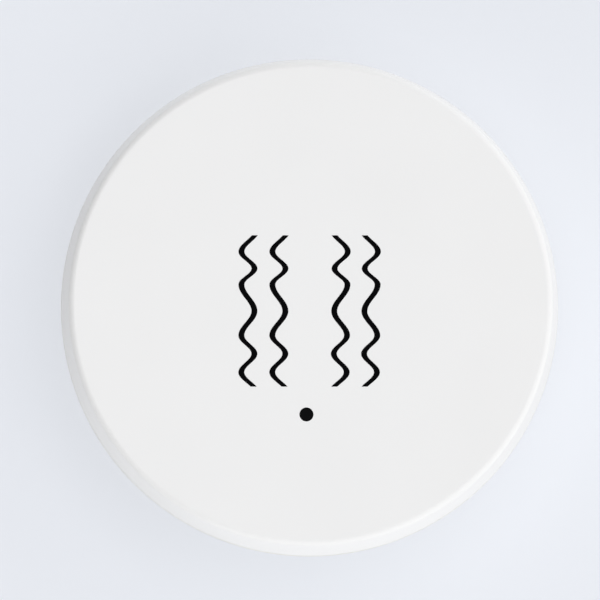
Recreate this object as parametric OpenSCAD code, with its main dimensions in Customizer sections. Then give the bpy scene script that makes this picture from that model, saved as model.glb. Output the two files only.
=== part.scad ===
// Round vibration sensor tag. A base sticks to a door, a window or a machine, and a pull-off head
// holds the board, the coin cell and the spring switch that senses the shaking.
// Millimetres. +Z is the way the face looks, and z = 0 is the sticky face of the pad.

/* [Case] */
// Outside diameter of the case
body_d = 46; // [45:0.5:56]
// Thickness of the side wall
wall = 1.6; // [1.2:0.1:2]
// Thickness of the front face
face_t = 1.5; // [1.2:0.1:2.4]
// Rounding of the front edge
edge_r = 0.6; // [0.3:0.1:1.3]
// Lean of the side wall, in degrees
wall_lean = 4; // [1:0.1:5]
// Height of the shadow gap at the seam
seam_gap = 0.4; // [0.2:0.1:0.8]
// Depth of the shadow gap at the seam
seam_depth = 0.6; // [0.3:0.1:0.8]

/* [Status window] */
// Diameter of the status window in the face
window_d = 1.3; // [1:0.1:2]
// Place of the window across the face
window_x = -0.4; // [-1:0.1:1]
// Place of the window below the middle of the face
window_drop = 10.2; // [8:0.1:12]
// Diameter of the light pipe behind the window
pipe_d = 2.6; // [2.2:0.1:3.2]
// Depth of the light pipe's tip below the face
tip_recess = 0.15; // [0.05:0.05:0.4]

/* [Base] */
// Thickness of the base plate
base_t = 1.6; // [1.2:0.1:2.4]
// Height of the base's rim
rim_h = 2.4; // [2:0.1:3]
// Rounding of the base's lower edge
base_edge_r = 0.8; // [0.4:0.1:1.2]
// Thickness of the ring that plugs into the head
spigot_t = 1.2; // [0.9:0.1:1.6]
// Radial gap between that ring and the head
fit_gap = 0.2; // [0.15:0.05:0.35]
// Gap that the snap beads leave as they slide
snap_gap = 0.06; // [0.04:0.01:0.1]
// Width of the pry notch under the head
pry_w = 8; // [5:0.5:12]
// Height of the pry notch
pry_h = 1.0; // [0.6:0.1:1.2]
// Diameter of the sticky pad
pad_d = 30; // [20:1:36]
// Thickness of the sticky pad
pad_t = 1.0; // [0.8:0.1:2]
// Depth of the seat that the pad sits in
pad_seat = 0.4; // [0.2:0.1:0.7]

/* [Power] */
// Diameter of the coin cell
cell_d = 20; // [16:0.5:21]
// Thickness of the coin cell
cell_t = 3.2; // [2:0.1:4]
// Thickness of the cell holder's wall
holder_wall = 1.1; // [0.8:0.1:1.4]
// Thickness of the cell holder's floor
holder_floor = 0.6; // [0.5:0.1:1]
// Thickness of the contact strip
strip_t = 0.25; // [0.15:0.05:0.3]

/* [Board] */
// Thickness of the board
board_t = 1.0; // [0.8:0.1:1.6]
// Length of a board screw under its head
screw_l = 3.6; // [3:0.2:4.2]
// Diameter of a board screw's head
screw_head_d = 3.4; // [3:0.1:3.8]
// Width of the radio module
module_w = 12; // [10:0.5:13]
// Length of the radio module
module_l = 16; // [14:0.5:17]
// Height of the radio module's shield
shield_h = 1.8; // [1.2:0.1:2.4]

/* [Pairing switch] */
// Width of the pairing switch
switch_w = 4.5; // [4:0.1:5]
// Height of the switch's case
switch_case_h = 2.4; // [2.2:0.1:2.8]
// Height of the switch over its plunger
switch_h = 4.0; // [3.6:0.1:4.6]
// Diameter of the plunger
plunger_d = 2.3; // [1.8:0.1:2.6]
// Travel of the plunger
switch_travel = 0.25; // [0.15:0.05:0.4]

/* [Spring switch] */
// Diameter of the spring switch's tube
tube_d = 4.0; // [3.8:0.1:4.8]
// Length of the tube
tube_l = 10; // [9:0.5:12]
// Diameter of the coil at the middle of its wire
coil_d = 1.8; // [1.7:0.1:2]
// Diameter of the coil's wire
coil_wire_d = 0.2; // [0.15:0.05:0.25]
// Turns of the coil
coil_turns = 9; // [7:1:10]
// Diameter of the centre pin
pin_d = 0.6; // [0.4:0.1:0.7]
// Diameter of the coil's own lead
lead_d = 0.4; // [0.3:0.05:0.5]

/* [Hidden] */
$fn = 96;

// Small values that fits and joints share
sink = 0.3;            // how far a moulded rib or boss runs into the wall that carries it
cut = 0.5;             // how far a cutting shape runs past what it cuts
slip = 0.03;           // gap between a pushed-in piece and its seat
touch = 0.02;          // gap between pieces that press on each other

// Pad and snap ring
pad_gap = 0.2;
spigot_clear = 0.6;
bead_h = fit_gap - snap_gap;
bead_rise = 0.5;
bead_drop = 1.0;
bead_span = 22;
bead_angles = [45, 135, 225, 315];
tongue_slot_w = 1.0;
tongue_angle = 16;
groove_depth = 0.25;
pry_depth = 1.3;
pry_angle = -90;
key_angle = 90;
key_w = 2.0;
key_gap = 0.25;
key_reach = 1.0;

// Cell, holder and contacts
cell_gap = 0.2;
leaf_room = 0.4;
cell_play = 0.2;
can_edge_r = 0.5;
crimp_r = 0.6;
cap_inset = 1.3;
cap_rise = 0.25;
cap_seat = 0.8;
cap_edge_r = 0.2;
gasket_t = 0.3;
wall_drop = 0.7;
lip_t = 0.4;
lip_reach = 0.8;
finger_slot_w = 8;
contact_slot_w = 6;
plus_w = 4;
plus_foot = 2.6;
plus_gap = 0.5;
plus_end = 0.3;
minus_w = 2.6;
leaf_window = [10.5, 4.2];
leaf_bend = -1.2;
leaf_touch = 2;
peg_d = 1.2;
peg_inset = 2.5;
peg_angles = [60, 240];

// Inside of the base
rest_d = 13;
rest_w = 1.2;
rib_w = 1.2;
base_rib_h = 0.3;
base_rib_angles = [0 : 60 : 300];
hub_d = 11;

// Board and what it carries
rear_gap = 0.5;
rear_clear = 1.0;
front_clear = 0.5;
board_gap = 0.6;
hole_gap = 0.1;
boss_d = 4.4;
screw_d = 1.5;
screw_head_h = 1.2;
screw_edge_r = 0.6;
screw_slot_w = 0.45;
screw_slot_l = 1.9;
screw_slot_depth = 0.6;
screw_angles = [50, 130, 270];
post_d = 3.0;
post_pin_d = 1.6;
post_pin_proud = 0.5;
post_angles = [10, 232];
ledge_angles = [30, 155, 200, 300, 335];
ledge_bite = 0.8;
module_t = 0.8;
antenna_l = 4.6;
antenna_margin = 3.2;
pad_pitch = 1.27;
pad_hole_d = 0.6;
side_pads = 8;
shield_wall = 0.2;
shield_edge = 0.6;
shield_corner_r = 0.7;
led_size = [1.6, 0.8, 0.65];
led_base_h = 0.3;
pipe_clear = 0.3;
collar_wall = 0.9;
collar_lift = 0.5;

// Loose chips on the front of the board: across, up and turn
capacitor_size = [1.6, 0.8, 0.8];
capacitor_places = [[-8.5, 9, 90], [-8.5, 6, 90], [8.5, 4, 90], [8.5, 1, 90], [-3, -2, 0], [3, -2, 0]];
resistor_size = [1.6, 0.8, 0.45];
resistor_places = [[-4, -6, 0], [4, -6, 0], [5, -10, 90], [12.5, -3, 0], [12.5, -5.5, 0]];
chip_end = 0.35;
chip_inset = 0.03;
buffer_size = [3.5, 2.8, 1.9];
buffer_tab = [0.4, 2.2, 0.8];
buffer_place = [-12.5, 1];
buffer_lean = 0.2;

// Pairing switch
switch_angle = -42;
switch_lift = 0.1;
switch_cavity_d = 3.6;
dome_rest = 0.7;
plunger_edge_r = 0.3;
flange_t = 0.7;
flange_gap = 0.12;
plunger_gap = 0.15;
cover_t = 0.2;
cover_tab = [2.0, 1.2];
dome_t = 0.08;
leg_t = 0.2;
leg_w = 0.7;
leg_reach = 1.5;
leg_inset = 0.8;

// Spring switch
tube_lift = 0.1;
tube_wall = 0.4;
tube_edge_r = 0.3;
tube_end_t = 0.8;
plug_l = 1.5;
coil_free = 0.8;
post_l = 1.0;
post_gap = 0.15;
pin_short = 1.4;
lead_out = 1.6;
lead_bend_r = 0.7;
lead_stub = 0.8;
lead_hole_gap = 0.2;
sense_gap = 1.0;
sense_y = 2;
coil_rings = 8;
coil_sides = 6;

// Heights, from the pad up
z_base = pad_t - pad_seat;
z_floor = z_base + base_t;
z_seam = z_base + rim_h;
rear_depth = max(cell_t + leaf_room + holder_floor, tube_lift + tube_d, switch_h);
z_board = z_floor + rear_clear + rear_depth;
z_front = z_board + board_t;
front_depth = max(module_t + shield_h, buffer_size[2], lead_stub);
z_inside = z_front + front_depth + front_clear;
z_top = z_inside + face_t;
z_holder = z_board - holder_floor;
z_cell_top = z_holder - leaf_room;
z_cell = z_cell_top - cell_t;
z_spigot = z_board - spigot_clear;
z_bead = z_spigot - bead_drop;
z_pipe = z_front + led_size[2] + pipe_clear;
z_sense = z_board - tube_lift - tube_d / 2;

// Heights inside the pairing switch, from the board
z_cover = switch_case_h + cover_t;
z_flange = switch_case_h - touch - flange_t;
switch_floor_t = z_flange - touch - switch_travel - dome_rest;

// Radii, from the outside in
case_r = body_d / 2;
bore_r = case_r - wall;
spigot_r = bore_r - fit_gap;
spigot_in_r = spigot_r - spigot_t;
rear_r = spigot_in_r - rear_gap;
board_r = bore_r - board_gap;
cell_r = cell_d / 2;
pocket_r = cell_r + cell_gap;
holder_r = pocket_r + holder_wall;
peg_ring_r = cell_r - peg_inset;
cap_r = cell_r - cap_inset;
coil_r = coil_d / 2;
coil_post_r = coil_r - coil_wire_d / 2 - post_gap;
tube_bore_r = tube_d / 2 - tube_wall;

// Places across the board
window = [window_x, -window_drop];
collar_d = pipe_d + 2 * (slip + collar_wall);
screw_ring_r = rear_r - screw_head_d / 2 - hole_gap;
cell_x = holder_r - rear_r;
module_y = board_r - antenna_margin - module_l / 2;
shield_w = module_w - 2 * shield_edge;
shield_l = module_l - antenna_l - 2 * shield_edge;
switch_place = polar(rear_r - norm([switch_w / 2 + leg_reach, switch_w / 2]), switch_angle);
sense_x = max(
    cell_x + holder_r + plus_foot + sense_gap + tube_d / 2,
    module_w / 2 + sense_gap + pin_d / 2 + lead_hole_gap
);
lead_y = tube_l / 2 + lead_out;
coil_l = tube_l - tube_end_t - plug_l - coil_free;

// Points and outlines
function polar(r, a) = r * [cos(a), sin(a)];
function arc(c, r, from, to, steps = 8) =
    [for (i = [0 : steps]) c + polar(r, from + (to - from) * i / steps)];
function rounded_rect(w, l, r) = [
    for (q = [[1, 1, 0], [-1, 1, 90], [-1, -1, 180], [1, -1, 270]])
        each arc([q[0] * (w / 2 - r), q[1] * (l / 2 - r)], r, q[2], q[2] + 90, 6)
];
function reversed(list) = [for (i = [len(list) - 1 : -1 : 0]) list[i]];
function unit(v) = v / norm(v);
function left_of(v) = [-v[1], v[0]];

// One side of a bent strip: the path moved sideways, with mitred bends
function strip_side(path, d) = [
    for (i = [0 : len(path) - 1])
        let (
            last = len(path) - 1,
            before = unit(i == 0 ? path[1] - path[0] : path[i] - path[i - 1]),
            after = unit(i == last ? path[last] - path[last - 1] : path[i + 1] - path[i]),
            out = left_of(unit(before + after))
        )
        path[i] + out * d / (out * left_of(before))
];

// A strip of sheet metal, bent along a path in the XZ plane and w wide along Y
module bent_strip(path, t, w)
    rotate([90, 0, 0])
        linear_extrude(w, center = true)
            polygon(concat(strip_side(path, t / 2), reversed(strip_side(path, -t / 2))));

module at_cell() translate([cell_x, 0, 0]) children();
module at_switch() translate([switch_place[0], switch_place[1], z_board]) rotate([180, 0, 0]) children();
module at_window() translate([window[0], window[1], 0]) children();
module at_module() translate([0, module_y, z_front]) children();
module around(angles) for (a = angles) rotate([0, 0, a]) children();
// The spring switch lies along Y: its own Z runs along the tube, and its own -Y points at the board
module at_sense() translate([sense_x, sense_y - tube_l / 2, z_sense]) rotate([-90, 0, 0]) children();

// Base: plate, rim, snap ring with four sprung tongues, and low ribs
module base_cover()
    color("whitesmoke")
        difference() {
            union() {
                rotate_extrude() polygon(concat(
                    [[0, pad_t], [pad_d / 2 + pad_gap, pad_t], [pad_d / 2 + pad_gap, z_base]],
                    arc([case_r - base_edge_r, z_base + base_edge_r], base_edge_r, -90, 0),
                    [[case_r, z_seam], [spigot_r, z_seam], [spigot_r, z_spigot - sink],
                     [spigot_r - sink, z_spigot], [spigot_in_r, z_spigot], [spigot_in_r, z_floor],
                     [0, z_floor]]
                ));
                around([for (a = bead_angles) a - bead_span / 2])
                    rotate_extrude(angle = bead_span) polygon([
                        [spigot_r - sink, z_bead - bead_rise], [spigot_r + bead_h, z_bead],
                        [spigot_r - sink, z_bead + bead_rise]
                    ]);
                at_cell() cell_rest();
                translate([0, 0, z_floor - sink]) cylinder(d = hub_d, h = base_rib_h + sink);
                around(base_rib_angles)
                    translate([hub_d / 2 - sink, -rib_w / 2, z_floor - sink])
                        cube([spigot_in_r + 2 * sink - hub_d / 2, rib_w, base_rib_h + sink]);
            }
            for (a = bead_angles, side = [-1, 1])
                rotate([0, 0, a + side * tongue_angle])
                    spigot_slot(tongue_slot_w);
            rotate([0, 0, key_angle]) spigot_slot(key_w + 2 * key_gap);
            rotate([0, 0, pry_angle]) pry_notch();
        }

// Low ring that stops the cell from leaving its holder
module cell_rest()
    translate([0, 0, z_floor - sink])
        difference() {
            cylinder(d = rest_d, h = z_cell - cell_play - z_floor + sink);
            translate([0, 0, -cut]) cylinder(d = rest_d - 2 * rest_w, h = rear_depth);
        }

module spigot_slot(w)
    translate([spigot_in_r - cut, -w / 2, z_seam + sink])
        cube([spigot_t + 2 * cut, w, z_spigot - z_seam]);

// Wedge-shaped notch that lets a coin or a fingernail under the head
module pry_notch()
    rotate([90, 0, 0])
        linear_extrude(pry_w, center = true)
            polygon([
                [case_r - pry_depth, z_seam - pry_h / 2], [case_r + cut, z_seam - pry_h],
                [case_r + cut, z_seam + cut], [case_r - pry_depth, z_seam + cut]
            ]);

module adhesive_pad() color("gainsboro") cylinder(d = pad_d, h = pad_t);

// Head: one moulding with a leaning wall, a rounded front edge, screw bosses and board ledges
module front_shell()
    color("white")
        difference() {
            union() {
                rotate_extrude() polygon(shell_outline());
                around(screw_angles) screw_boss();
                around(post_angles) board_post();
                around(ledge_angles) board_ledge();
                rotate([0, 0, key_angle]) head_key();
                at_window()
                    translate([0, 0, z_pipe + collar_lift])
                        cylinder(d = collar_d, h = z_inside + sink - z_pipe - collar_lift);
            }
            at_window() {
                cylinder(d = window_d, h = z_top + cut);
                translate([0, 0, z_pipe]) cylinder(d = pipe_d + 2 * slip, h = z_inside - z_pipe);
            }
            around(screw_angles)
                translate([screw_ring_r, 0, z_front - cut])
                    cylinder(d = screw_d + 2 * slip, h = screw_l - board_t + sink + cut);
            rotate_extrude() polygon([
                [bore_r - cut, z_bead - bead_rise], [bore_r, z_bead - bead_rise],
                [bore_r + groove_depth, z_bead],
                [bore_r, z_bead + bead_rise], [bore_r - cut, z_bead + bead_rise]
            ]);
        }

// Middle of a rounding that touches a flat top and a leaning wall. The wall's foot is at radius r.
function rounding_centre(r, z_foot, z_flat) = [
    r - (edge_r + (z_flat - edge_r - z_foot) * sin(wall_lean)) / cos(wall_lean), z_flat - edge_r
];

// Half section of the head. The wall leans inside too, from the board up, so it keeps its thickness.
function shell_outline() =
    concat(
        [[0, z_top]],
        arc(rounding_centre(case_r, z_seam, z_top), edge_r, 90, wall_lean, 12),
        [
            [case_r - seam_gap * tan(wall_lean), z_seam + seam_gap],
            [case_r - seam_depth, z_seam + seam_gap],
            [case_r - seam_depth, z_seam],
            [bore_r + sink, z_seam],
            [bore_r, z_seam + sink],
            [bore_r, z_board]
        ],
        arc(rounding_centre(bore_r, z_board, z_inside), edge_r, wall_lean, 90, 6),
        [[0, z_inside]]
    );

// Post for a board screw, with a web to the side wall
module screw_boss() {
    translate([screw_ring_r, 0, z_front]) cylinder(d = boss_d, h = z_inside - z_front + sink);
    translate([screw_ring_r, -rib_w / 2, z_front + sink])
        cube([bore_r + sink - screw_ring_r, rib_w, z_inside - z_front]);
}

// Post with a pin that sets the board's place
module board_post() {
    translate([screw_ring_r, 0, z_front]) cylinder(d = post_d, h = z_inside - z_front + sink);
    translate([screw_ring_r, 0, z_board - post_pin_proud])
        cylinder(d = post_pin_d, h = board_t + post_pin_proud + sink);
}

module board_ledge()
    translate([board_r - ledge_bite, -rib_w / 2, z_front])
        cube([bore_r - board_r + ledge_bite + sink, rib_w, z_inside - z_front + sink]);

// Rib inside the skirt that lets the head go on one way round
module head_key()
    translate([bore_r - key_reach, -key_w / 2, z_seam + 2 * sink])
        cube([key_reach + sink, key_w, z_spigot - z_seam - 2 * sink]);

module light_pipe()
    color("#181818")
        at_window() rotate_extrude() polygon([
            [0, z_pipe], [pipe_d / 2, z_pipe], [pipe_d / 2, z_inside], [window_d / 2 - slip, z_inside],
            [window_d / 2 - slip, z_top - tip_recess], [0, z_top - tip_recess]
        ]);

// Round board with a notch that keeps metal away from the antenna
module main_board()
    color("darkgreen")
        difference() {
            translate([0, 0, z_board]) cylinder(r = board_r, h = board_t);
            translate([-module_w / 2 - cut, module_y + module_l / 2 - antenna_l, z_board - cut])
                cube([module_w + 2 * cut, board_r, board_t + 2 * cut]);
            around(screw_angles) board_hole(screw_ring_r, screw_d + 2 * sink);
            around(post_angles) board_hole(screw_ring_r, post_pin_d + 2 * hole_gap);
            at_cell() around(peg_angles) board_hole(peg_ring_r, peg_d + 2 * hole_gap);
            for (side = [-1, 1])
                translate([sense_x, sense_y + side * lead_y, 0])
                    board_hole(0, (side < 0 ? lead_d : pin_d) + 2 * lead_hole_gap);
        }

module board_hole(r, d) translate([r, 0, z_board - cut]) cylinder(d = d, h = board_t + 2 * cut);

module board_screws()
    color("silver")
        around(screw_angles)
            translate([screw_ring_r, 0, z_board])
                difference() {
                    union() {
                        rotate_extrude() polygon(concat(
                            [[0, 0], [screw_head_d / 2, 0]],
                            arc([screw_head_d / 2 - screw_edge_r, screw_edge_r - screw_head_h],
                                screw_edge_r, 0, -90, 6),
                            [[0, -screw_head_h]]
                        ));
                        translate([0, 0, -sink]) cylinder(d = screw_d, h = screw_l + sink);
                    }
                    for (turn = [0, 90])
                        rotate([0, 0, turn])
                            translate([-screw_slot_l / 2, -screw_slot_w / 2, -screw_head_h - cut])
                                cube([screw_slot_l, screw_slot_w, screw_slot_depth + cut]);
                }

// Open cup that holds the cell: the floor lies on the board, and two lips reach over the cell's rim
module cell_holder()
    color("#2b2b2b")
        at_cell()
            difference() {
                union() {
                    rotate_extrude() polygon([
                        [0, z_board], [0, z_holder], [pocket_r, z_holder], [pocket_r, z_cell - touch],
                        [cell_r - lip_reach, z_cell - touch], [cell_r - lip_reach, z_cell - touch - lip_t],
                        [holder_r, z_cell - touch - lip_t], [holder_r, z_board]
                    ]);
                    around(peg_angles)
                        translate([peg_ring_r, 0, z_board - sink])
                            cylinder(d = peg_d, h = board_t + sink - touch);
                }
                translate([0, 0, z_board])
                    cube([leaf_window[0], leaf_window[1], 3 * holder_floor], center = true);
                translate([0, -contact_slot_w / 2, 0]) cube([holder_r + cut, contact_slot_w, z_holder]);
                translate([-finger_slot_w / 2, -holder_r - cut, 0])
                    cube([finger_slot_w, 2 * (holder_r + cut), z_holder]);
                translate([0, -holder_r - cut, 0])
                    cube([holder_r + cut, 2 * (holder_r + cut), z_cell + wall_drop]);
                translate([-holder_r - cut, -finger_slot_w / 2, 0])
                    cube([holder_r, finger_slot_w, z_cell + wall_drop]);
            }

// Spring arm that stands on the board and leans on the side of the cell
module plus_contact()
    color("gold")
        at_cell()
            bent_strip([
                [holder_r + plus_foot, z_board - strip_t / 2], [holder_r + plus_gap, z_board - strip_t / 2],
                [holder_r + plus_gap, z_cell + plus_end], [holder_r - plus_gap, z_cell + plus_end],
                [cell_r + strip_t / 2 + touch, z_cell + cell_t / 2],
                [cell_r + plus_gap, z_cell_top - plus_end]
            ], strip_t, plus_w);

// Leaf that lies on the board and lifts to the cell's cap
module minus_contact()
    color("gold")
        at_cell()
            bent_strip([
                [plus_gap - leaf_window[0] / 2, z_board - strip_t / 2], [leaf_bend, z_board - strip_t / 2],
                [leaf_touch, z_cell_top + strip_t / 2 + touch],
                [leaf_window[0] / 2 - leaf_touch, z_cell_top + leaf_room]
            ], strip_t, minus_w);

module coin_cell_can()
    color("lightsteelblue")
        at_cell() translate([0, 0, z_cell]) rotate_extrude() polygon(concat(
            [[0, 0]],
            arc([cell_r - can_edge_r, can_edge_r], can_edge_r, -90, 0),
            arc([cell_r - crimp_r, cell_t - cap_rise - crimp_r], crimp_r, 0, 90),
            [[cap_r + gasket_t, cell_t - cap_rise], [cap_r + gasket_t, cell_t - cap_seat]],
            [[0, cell_t - cap_seat]]
        ));

module coin_cell_gasket()
    color("dimgray")
        at_cell() translate([0, 0, z_cell + cell_t - cap_seat])
            difference() {
                cylinder(r = cap_r + gasket_t - touch, h = cap_seat - cap_rise);
                translate([0, 0, -cut]) cylinder(r = cap_r + touch, h = cap_seat + 2 * cut);
            }

module coin_cell_cap()
    color("silver")
        at_cell() translate([0, 0, z_cell]) rotate_extrude() polygon(concat(
            [[0, cell_t - cap_seat], [cap_r, cell_t - cap_seat]],
            arc([cap_r - cap_edge_r, cell_t - cap_edge_r], cap_edge_r, 0, 90, 6),
            [[0, cell_t]]
        ));

// Radio board with half-round solder pads down both long sides
module radio_module()
    color("seagreen")
        at_module()
            difference() {
                translate([-module_w / 2, -module_l / 2, 0]) cube([module_w, module_l, module_t]);
                for (side = [-1, 1], i = [0 : side_pads - 1])
                    translate([side * module_w / 2, (i + 1) * pad_pitch - module_l / 2, -cut])
                        cylinder(d = pad_hole_d, h = module_t + 2 * cut);
            }

// Drawn can over the radio's chips, open where it stands on the radio board
module module_shield()
    color("lightgray")
        at_module() translate([0, -antenna_l / 2, module_t])
            difference() {
                linear_extrude(shield_h) polygon(rounded_rect(shield_w, shield_l, shield_corner_r));
                translate([0, 0, -cut])
                    linear_extrude(shield_h - shield_wall + cut) polygon(rounded_rect(
                        shield_w - 2 * shield_wall, shield_l - 2 * shield_wall, shield_corner_r - shield_wall
                    ));
            }

module status_led()
    color("ivory")
        at_window() translate([0, 0, z_front]) {
            translate([-led_size[0] / 2, -led_size[1] / 2, 0]) cube([led_size[0], led_size[1], led_base_h]);
            rotate([90, 0, 0])
                linear_extrude(led_size[1], center = true)
                    polygon(concat(
                        [[-led_size[0] / 3, led_base_h / 2], [led_size[0] / 3, led_base_h / 2]],
                        arc([led_size[0] / 3 - led_base_h, led_size[2] - led_base_h], led_base_h, 0, 90, 4),
                        arc([led_base_h - led_size[0] / 3, led_size[2] - led_base_h], led_base_h, 90, 180, 4)
                    ));
        }

// A chip with a metal end at each side
module chip(size) {
    translate([-size[0] / 2 + chip_end / 2, chip_inset - size[1] / 2, 0])
        cube([size[0] - chip_end, size[1] - 2 * chip_inset, size[2] - chip_inset]);
    for (end = [-size[0] / 2, size[0] / 2 - chip_end])
        translate([end, -size[1] / 2, 0]) cube([chip_end, size[1], size[2]]);
}

module chips(places, size)
    for (p = places)
        translate([p[0], p[1], z_front]) rotate([0, 0, p[2]]) chip(size);

module chip_capacitors() color("tan") chips(capacitor_places, capacitor_size);
module chip_resistors() color("#303030") chips(resistor_places, resistor_size);

// Moulded block that steadies the cell's voltage, with a tab at each end
module buffer_capacitor()
    let (
        half_w = buffer_size[1] / 2,
        top_w = half_w - buffer_lean
    )
    color("goldenrod")
        translate([buffer_place[0], buffer_place[1], z_front]) {
            rotate([90, 0, 90])
                linear_extrude(buffer_size[0], center = true)
                    polygon([
                        [-half_w, 0], [half_w, 0], [half_w, buffer_tab[2]], [top_w, buffer_size[2]],
                        [-top_w, buffer_size[2]], [-half_w, buffer_tab[2]]
                    ]);
            for (side = [-1, 1])
                translate([side * buffer_size[0] / 2, 0, buffer_tab[2] / 2])
                    cube(buffer_tab, center = true);
        }

// Pairing switch: the plunger sits on a snap dome in the case, under a steel cover
module switch_case()
    color("#202020")
        at_switch()
            difference() {
                translate([-switch_w / 2, -switch_w / 2, switch_lift])
                    cube([switch_w, switch_w, switch_case_h - switch_lift]);
                translate([0, 0, switch_floor_t]) cylinder(d = switch_cavity_d, h = switch_case_h);
            }

module switch_cover()
    color("silver")
        at_switch()
            difference() {
                union() {
                    translate([0, 0, z_cover - cover_t / 2])
                        cube([switch_w, switch_w + cover_t, cover_t], center = true);
                    for (side = [-1, 1])
                        translate([0, side * (switch_w + cover_t) / 2, z_cover - cover_tab[1] / 2])
                            cube([cover_tab[0], cover_t, cover_tab[1]], center = true);
                }
                translate([0, 0, switch_floor_t]) cylinder(d = plunger_d + 2 * plunger_gap, h = switch_h);
            }

module switch_plunger()
    color("#151515")
        at_switch() rotate_extrude() polygon(concat(
            [[0, z_flange], [switch_cavity_d / 2 - flange_gap, z_flange]],
            [[switch_cavity_d / 2 - flange_gap, z_flange + flange_t], [plunger_d / 2, z_flange + flange_t]],
            arc([plunger_d / 2 - plunger_edge_r, switch_h - plunger_edge_r], plunger_edge_r, 0, 90, 4),
            [[0, switch_h]]
        ));

// Thin sprung cap under the plunger
module switch_dome()
    let (
        foot_r = switch_cavity_d / 2 - flange_gap - dome_t,
        rise = z_flange - touch - dome_t - switch_floor_t,
        ball_r = (foot_r * foot_r + rise * rise) / (2 * rise),
        half = asin(foot_r / ball_r),
        centre = [0, switch_floor_t + rise - ball_r]
    )
    color("silver")
        at_switch() rotate_extrude() polygon(concat(
            arc(centre, ball_r + dome_t, 90 - half, 90, 10), arc(centre, ball_r, 90, 90 - half, 10)
        ));

module switch_terminals()
    let (
        side_x = switch_w / 2,
        high = switch_floor_t - leg_t / 2,
        low = leg_t / 2
    )
    color("silver")
        at_switch()
            for (turn = [0, 180], side = [-1, 1])
                rotate([0, 0, turn])
                    translate([0, side * (switch_w / 2 - leg_inset), 0])
                        bent_strip([
                            [side_x, high], [side_x + leg_reach / 3, high],
                            [side_x + leg_reach / 2, low], [side_x + leg_reach, low]
                        ], leg_t, leg_w);

// Spring switch: a coil fixed at one end stands round a pin, and touches it when the tag is shaken
module sense_tube()
    color("#1d2a4d")
        at_sense() rotate_extrude() polygon(concat(
            [[lead_d / 2 + slip, tube_end_t], [lead_d / 2 + slip, 0]],
            arc([tube_d / 2 - tube_edge_r, tube_edge_r], tube_edge_r, -90, 0, 4),
            [[tube_d / 2, tube_l], [tube_bore_r, tube_l], [tube_bore_r, tube_end_t]]
        ));

module sense_plug()
    color("ivory")
        at_sense() translate([0, 0, tube_l - plug_l])
            difference() {
                cylinder(r = tube_bore_r - slip, h = plug_l);
                translate([0, 0, -cut]) cylinder(d = pin_d + 2 * slip, h = plug_l + 2 * cut);
            }

// Wire that leaves the end of the tube and turns up through the board. It starts this far inside.
module bent_lead(d, inside) {
    translate([0, 0, lead_bend_r - lead_out]) cylinder(d = d, h = inside + lead_out - lead_bend_r);
    translate([0, -lead_bend_r, lead_bend_r - lead_out])
        rotate([-90, 0, 90]) rotate_extrude(angle = 90) translate([lead_bend_r, 0]) circle(d = d);
    translate([0, -lead_bend_r, -lead_out])
        rotate([90, 0, 0]) cylinder(d = d, h = z_front + lead_stub - z_sense - lead_bend_r);
}

module sense_pin()
    color("silver")
        at_sense()
            translate([0, 0, tube_l])
                mirror([0, 0, 1])
                    bent_lead(pin_d, tube_l - tube_end_t - post_l - pin_short);

module sense_lead()
    color("silver")
        at_sense() {
            bent_lead(lead_d, tube_end_t + sink);
            translate([0, 0, tube_end_t]) cylinder(r = coil_post_r, h = post_l);
        }

// The coil's middle line, with a straight end one wire across at both ends
coil_rise = (coil_l - coil_wire_d) / coil_turns;
function coil_point(turn) = [
    coil_r * cos(360 * turn), coil_r * sin(360 * turn), tube_end_t + coil_wire_d + coil_rise * turn
];
function coil_tangent(turn) =
    unit([-sin(360 * turn), cos(360 * turn), coil_rise / (2 * PI * coil_r)]);
coil_steps = [for (i = [0 : coil_turns * coil_rings]) i / coil_rings];
coil_line = concat(
    [coil_point(0) - coil_wire_d * coil_tangent(0)],
    [for (t = coil_steps) coil_point(t)],
    [coil_point(coil_turns) + coil_wire_d * coil_tangent(coil_turns)]
);
coil_turn_of = concat([0], coil_steps, [coil_turns]);
coil_gap = min([
    for (i = [0 : len(coil_line) - 1], j = [i + coil_rings / 2 : 1 : len(coil_line) - 1])
        norm(coil_line[i] - coil_line[j])
]) - coil_wire_d;
echo(coil_gap_mm = coil_gap);
echo(coil_root_mm = [sense_x, sense_y - tube_l / 2 + tube_end_t + post_l / 2, z_sense]);
echo(dome_foot_mm = z_board - switch_floor_t);

// Corners of the wire round one point of the line
function coil_ring(i) =
    let (
        turn = coil_turn_of[i],
        out = [cos(360 * turn), sin(360 * turn), 0],
        up = cross(coil_tangent(turn), out)
    )
    [for (s = [0 : coil_sides - 1])
        coil_line[i] + coil_wire_d / 2 * (out * cos(360 * s / coil_sides) + up * sin(360 * s / coil_sides))];

module sense_spring() {
    n = len(coil_line);
    points = [for (i = [0 : n - 1]) each coil_ring(i)];
    sides = [
        for (i = [0 : n - 2], s = [0 : coil_sides - 1])
            let (
                a = i * coil_sides + s,
                b = i * coil_sides + (s + 1) % coil_sides
            )
            each [[a, b, b + coil_sides], [a, b + coil_sides, a + coil_sides]]
    ];
    ends = [
        for (s = [1 : coil_sides - 2])
            each [[0, s + 1, s], [for (k = [0, s, s + 1]) (n - 1) * coil_sides + k]]
    ];
    color("gold") at_sense() polyhedron(points, concat(sides, ends));
}

base_cover();
adhesive_pad();
front_shell();
light_pipe();
main_board();
board_screws();
cell_holder();
plus_contact();
minus_contact();
coin_cell_can();
coin_cell_gasket();
coin_cell_cap();
radio_module();
module_shield();
status_led();
chip_capacitors();
chip_resistors();
buffer_capacitor();
switch_case();
switch_cover();
switch_plunger();
switch_dome();
switch_terminals();
sense_tube();
sense_plug();
sense_spring();
sense_pin();
sense_lead();
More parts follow.
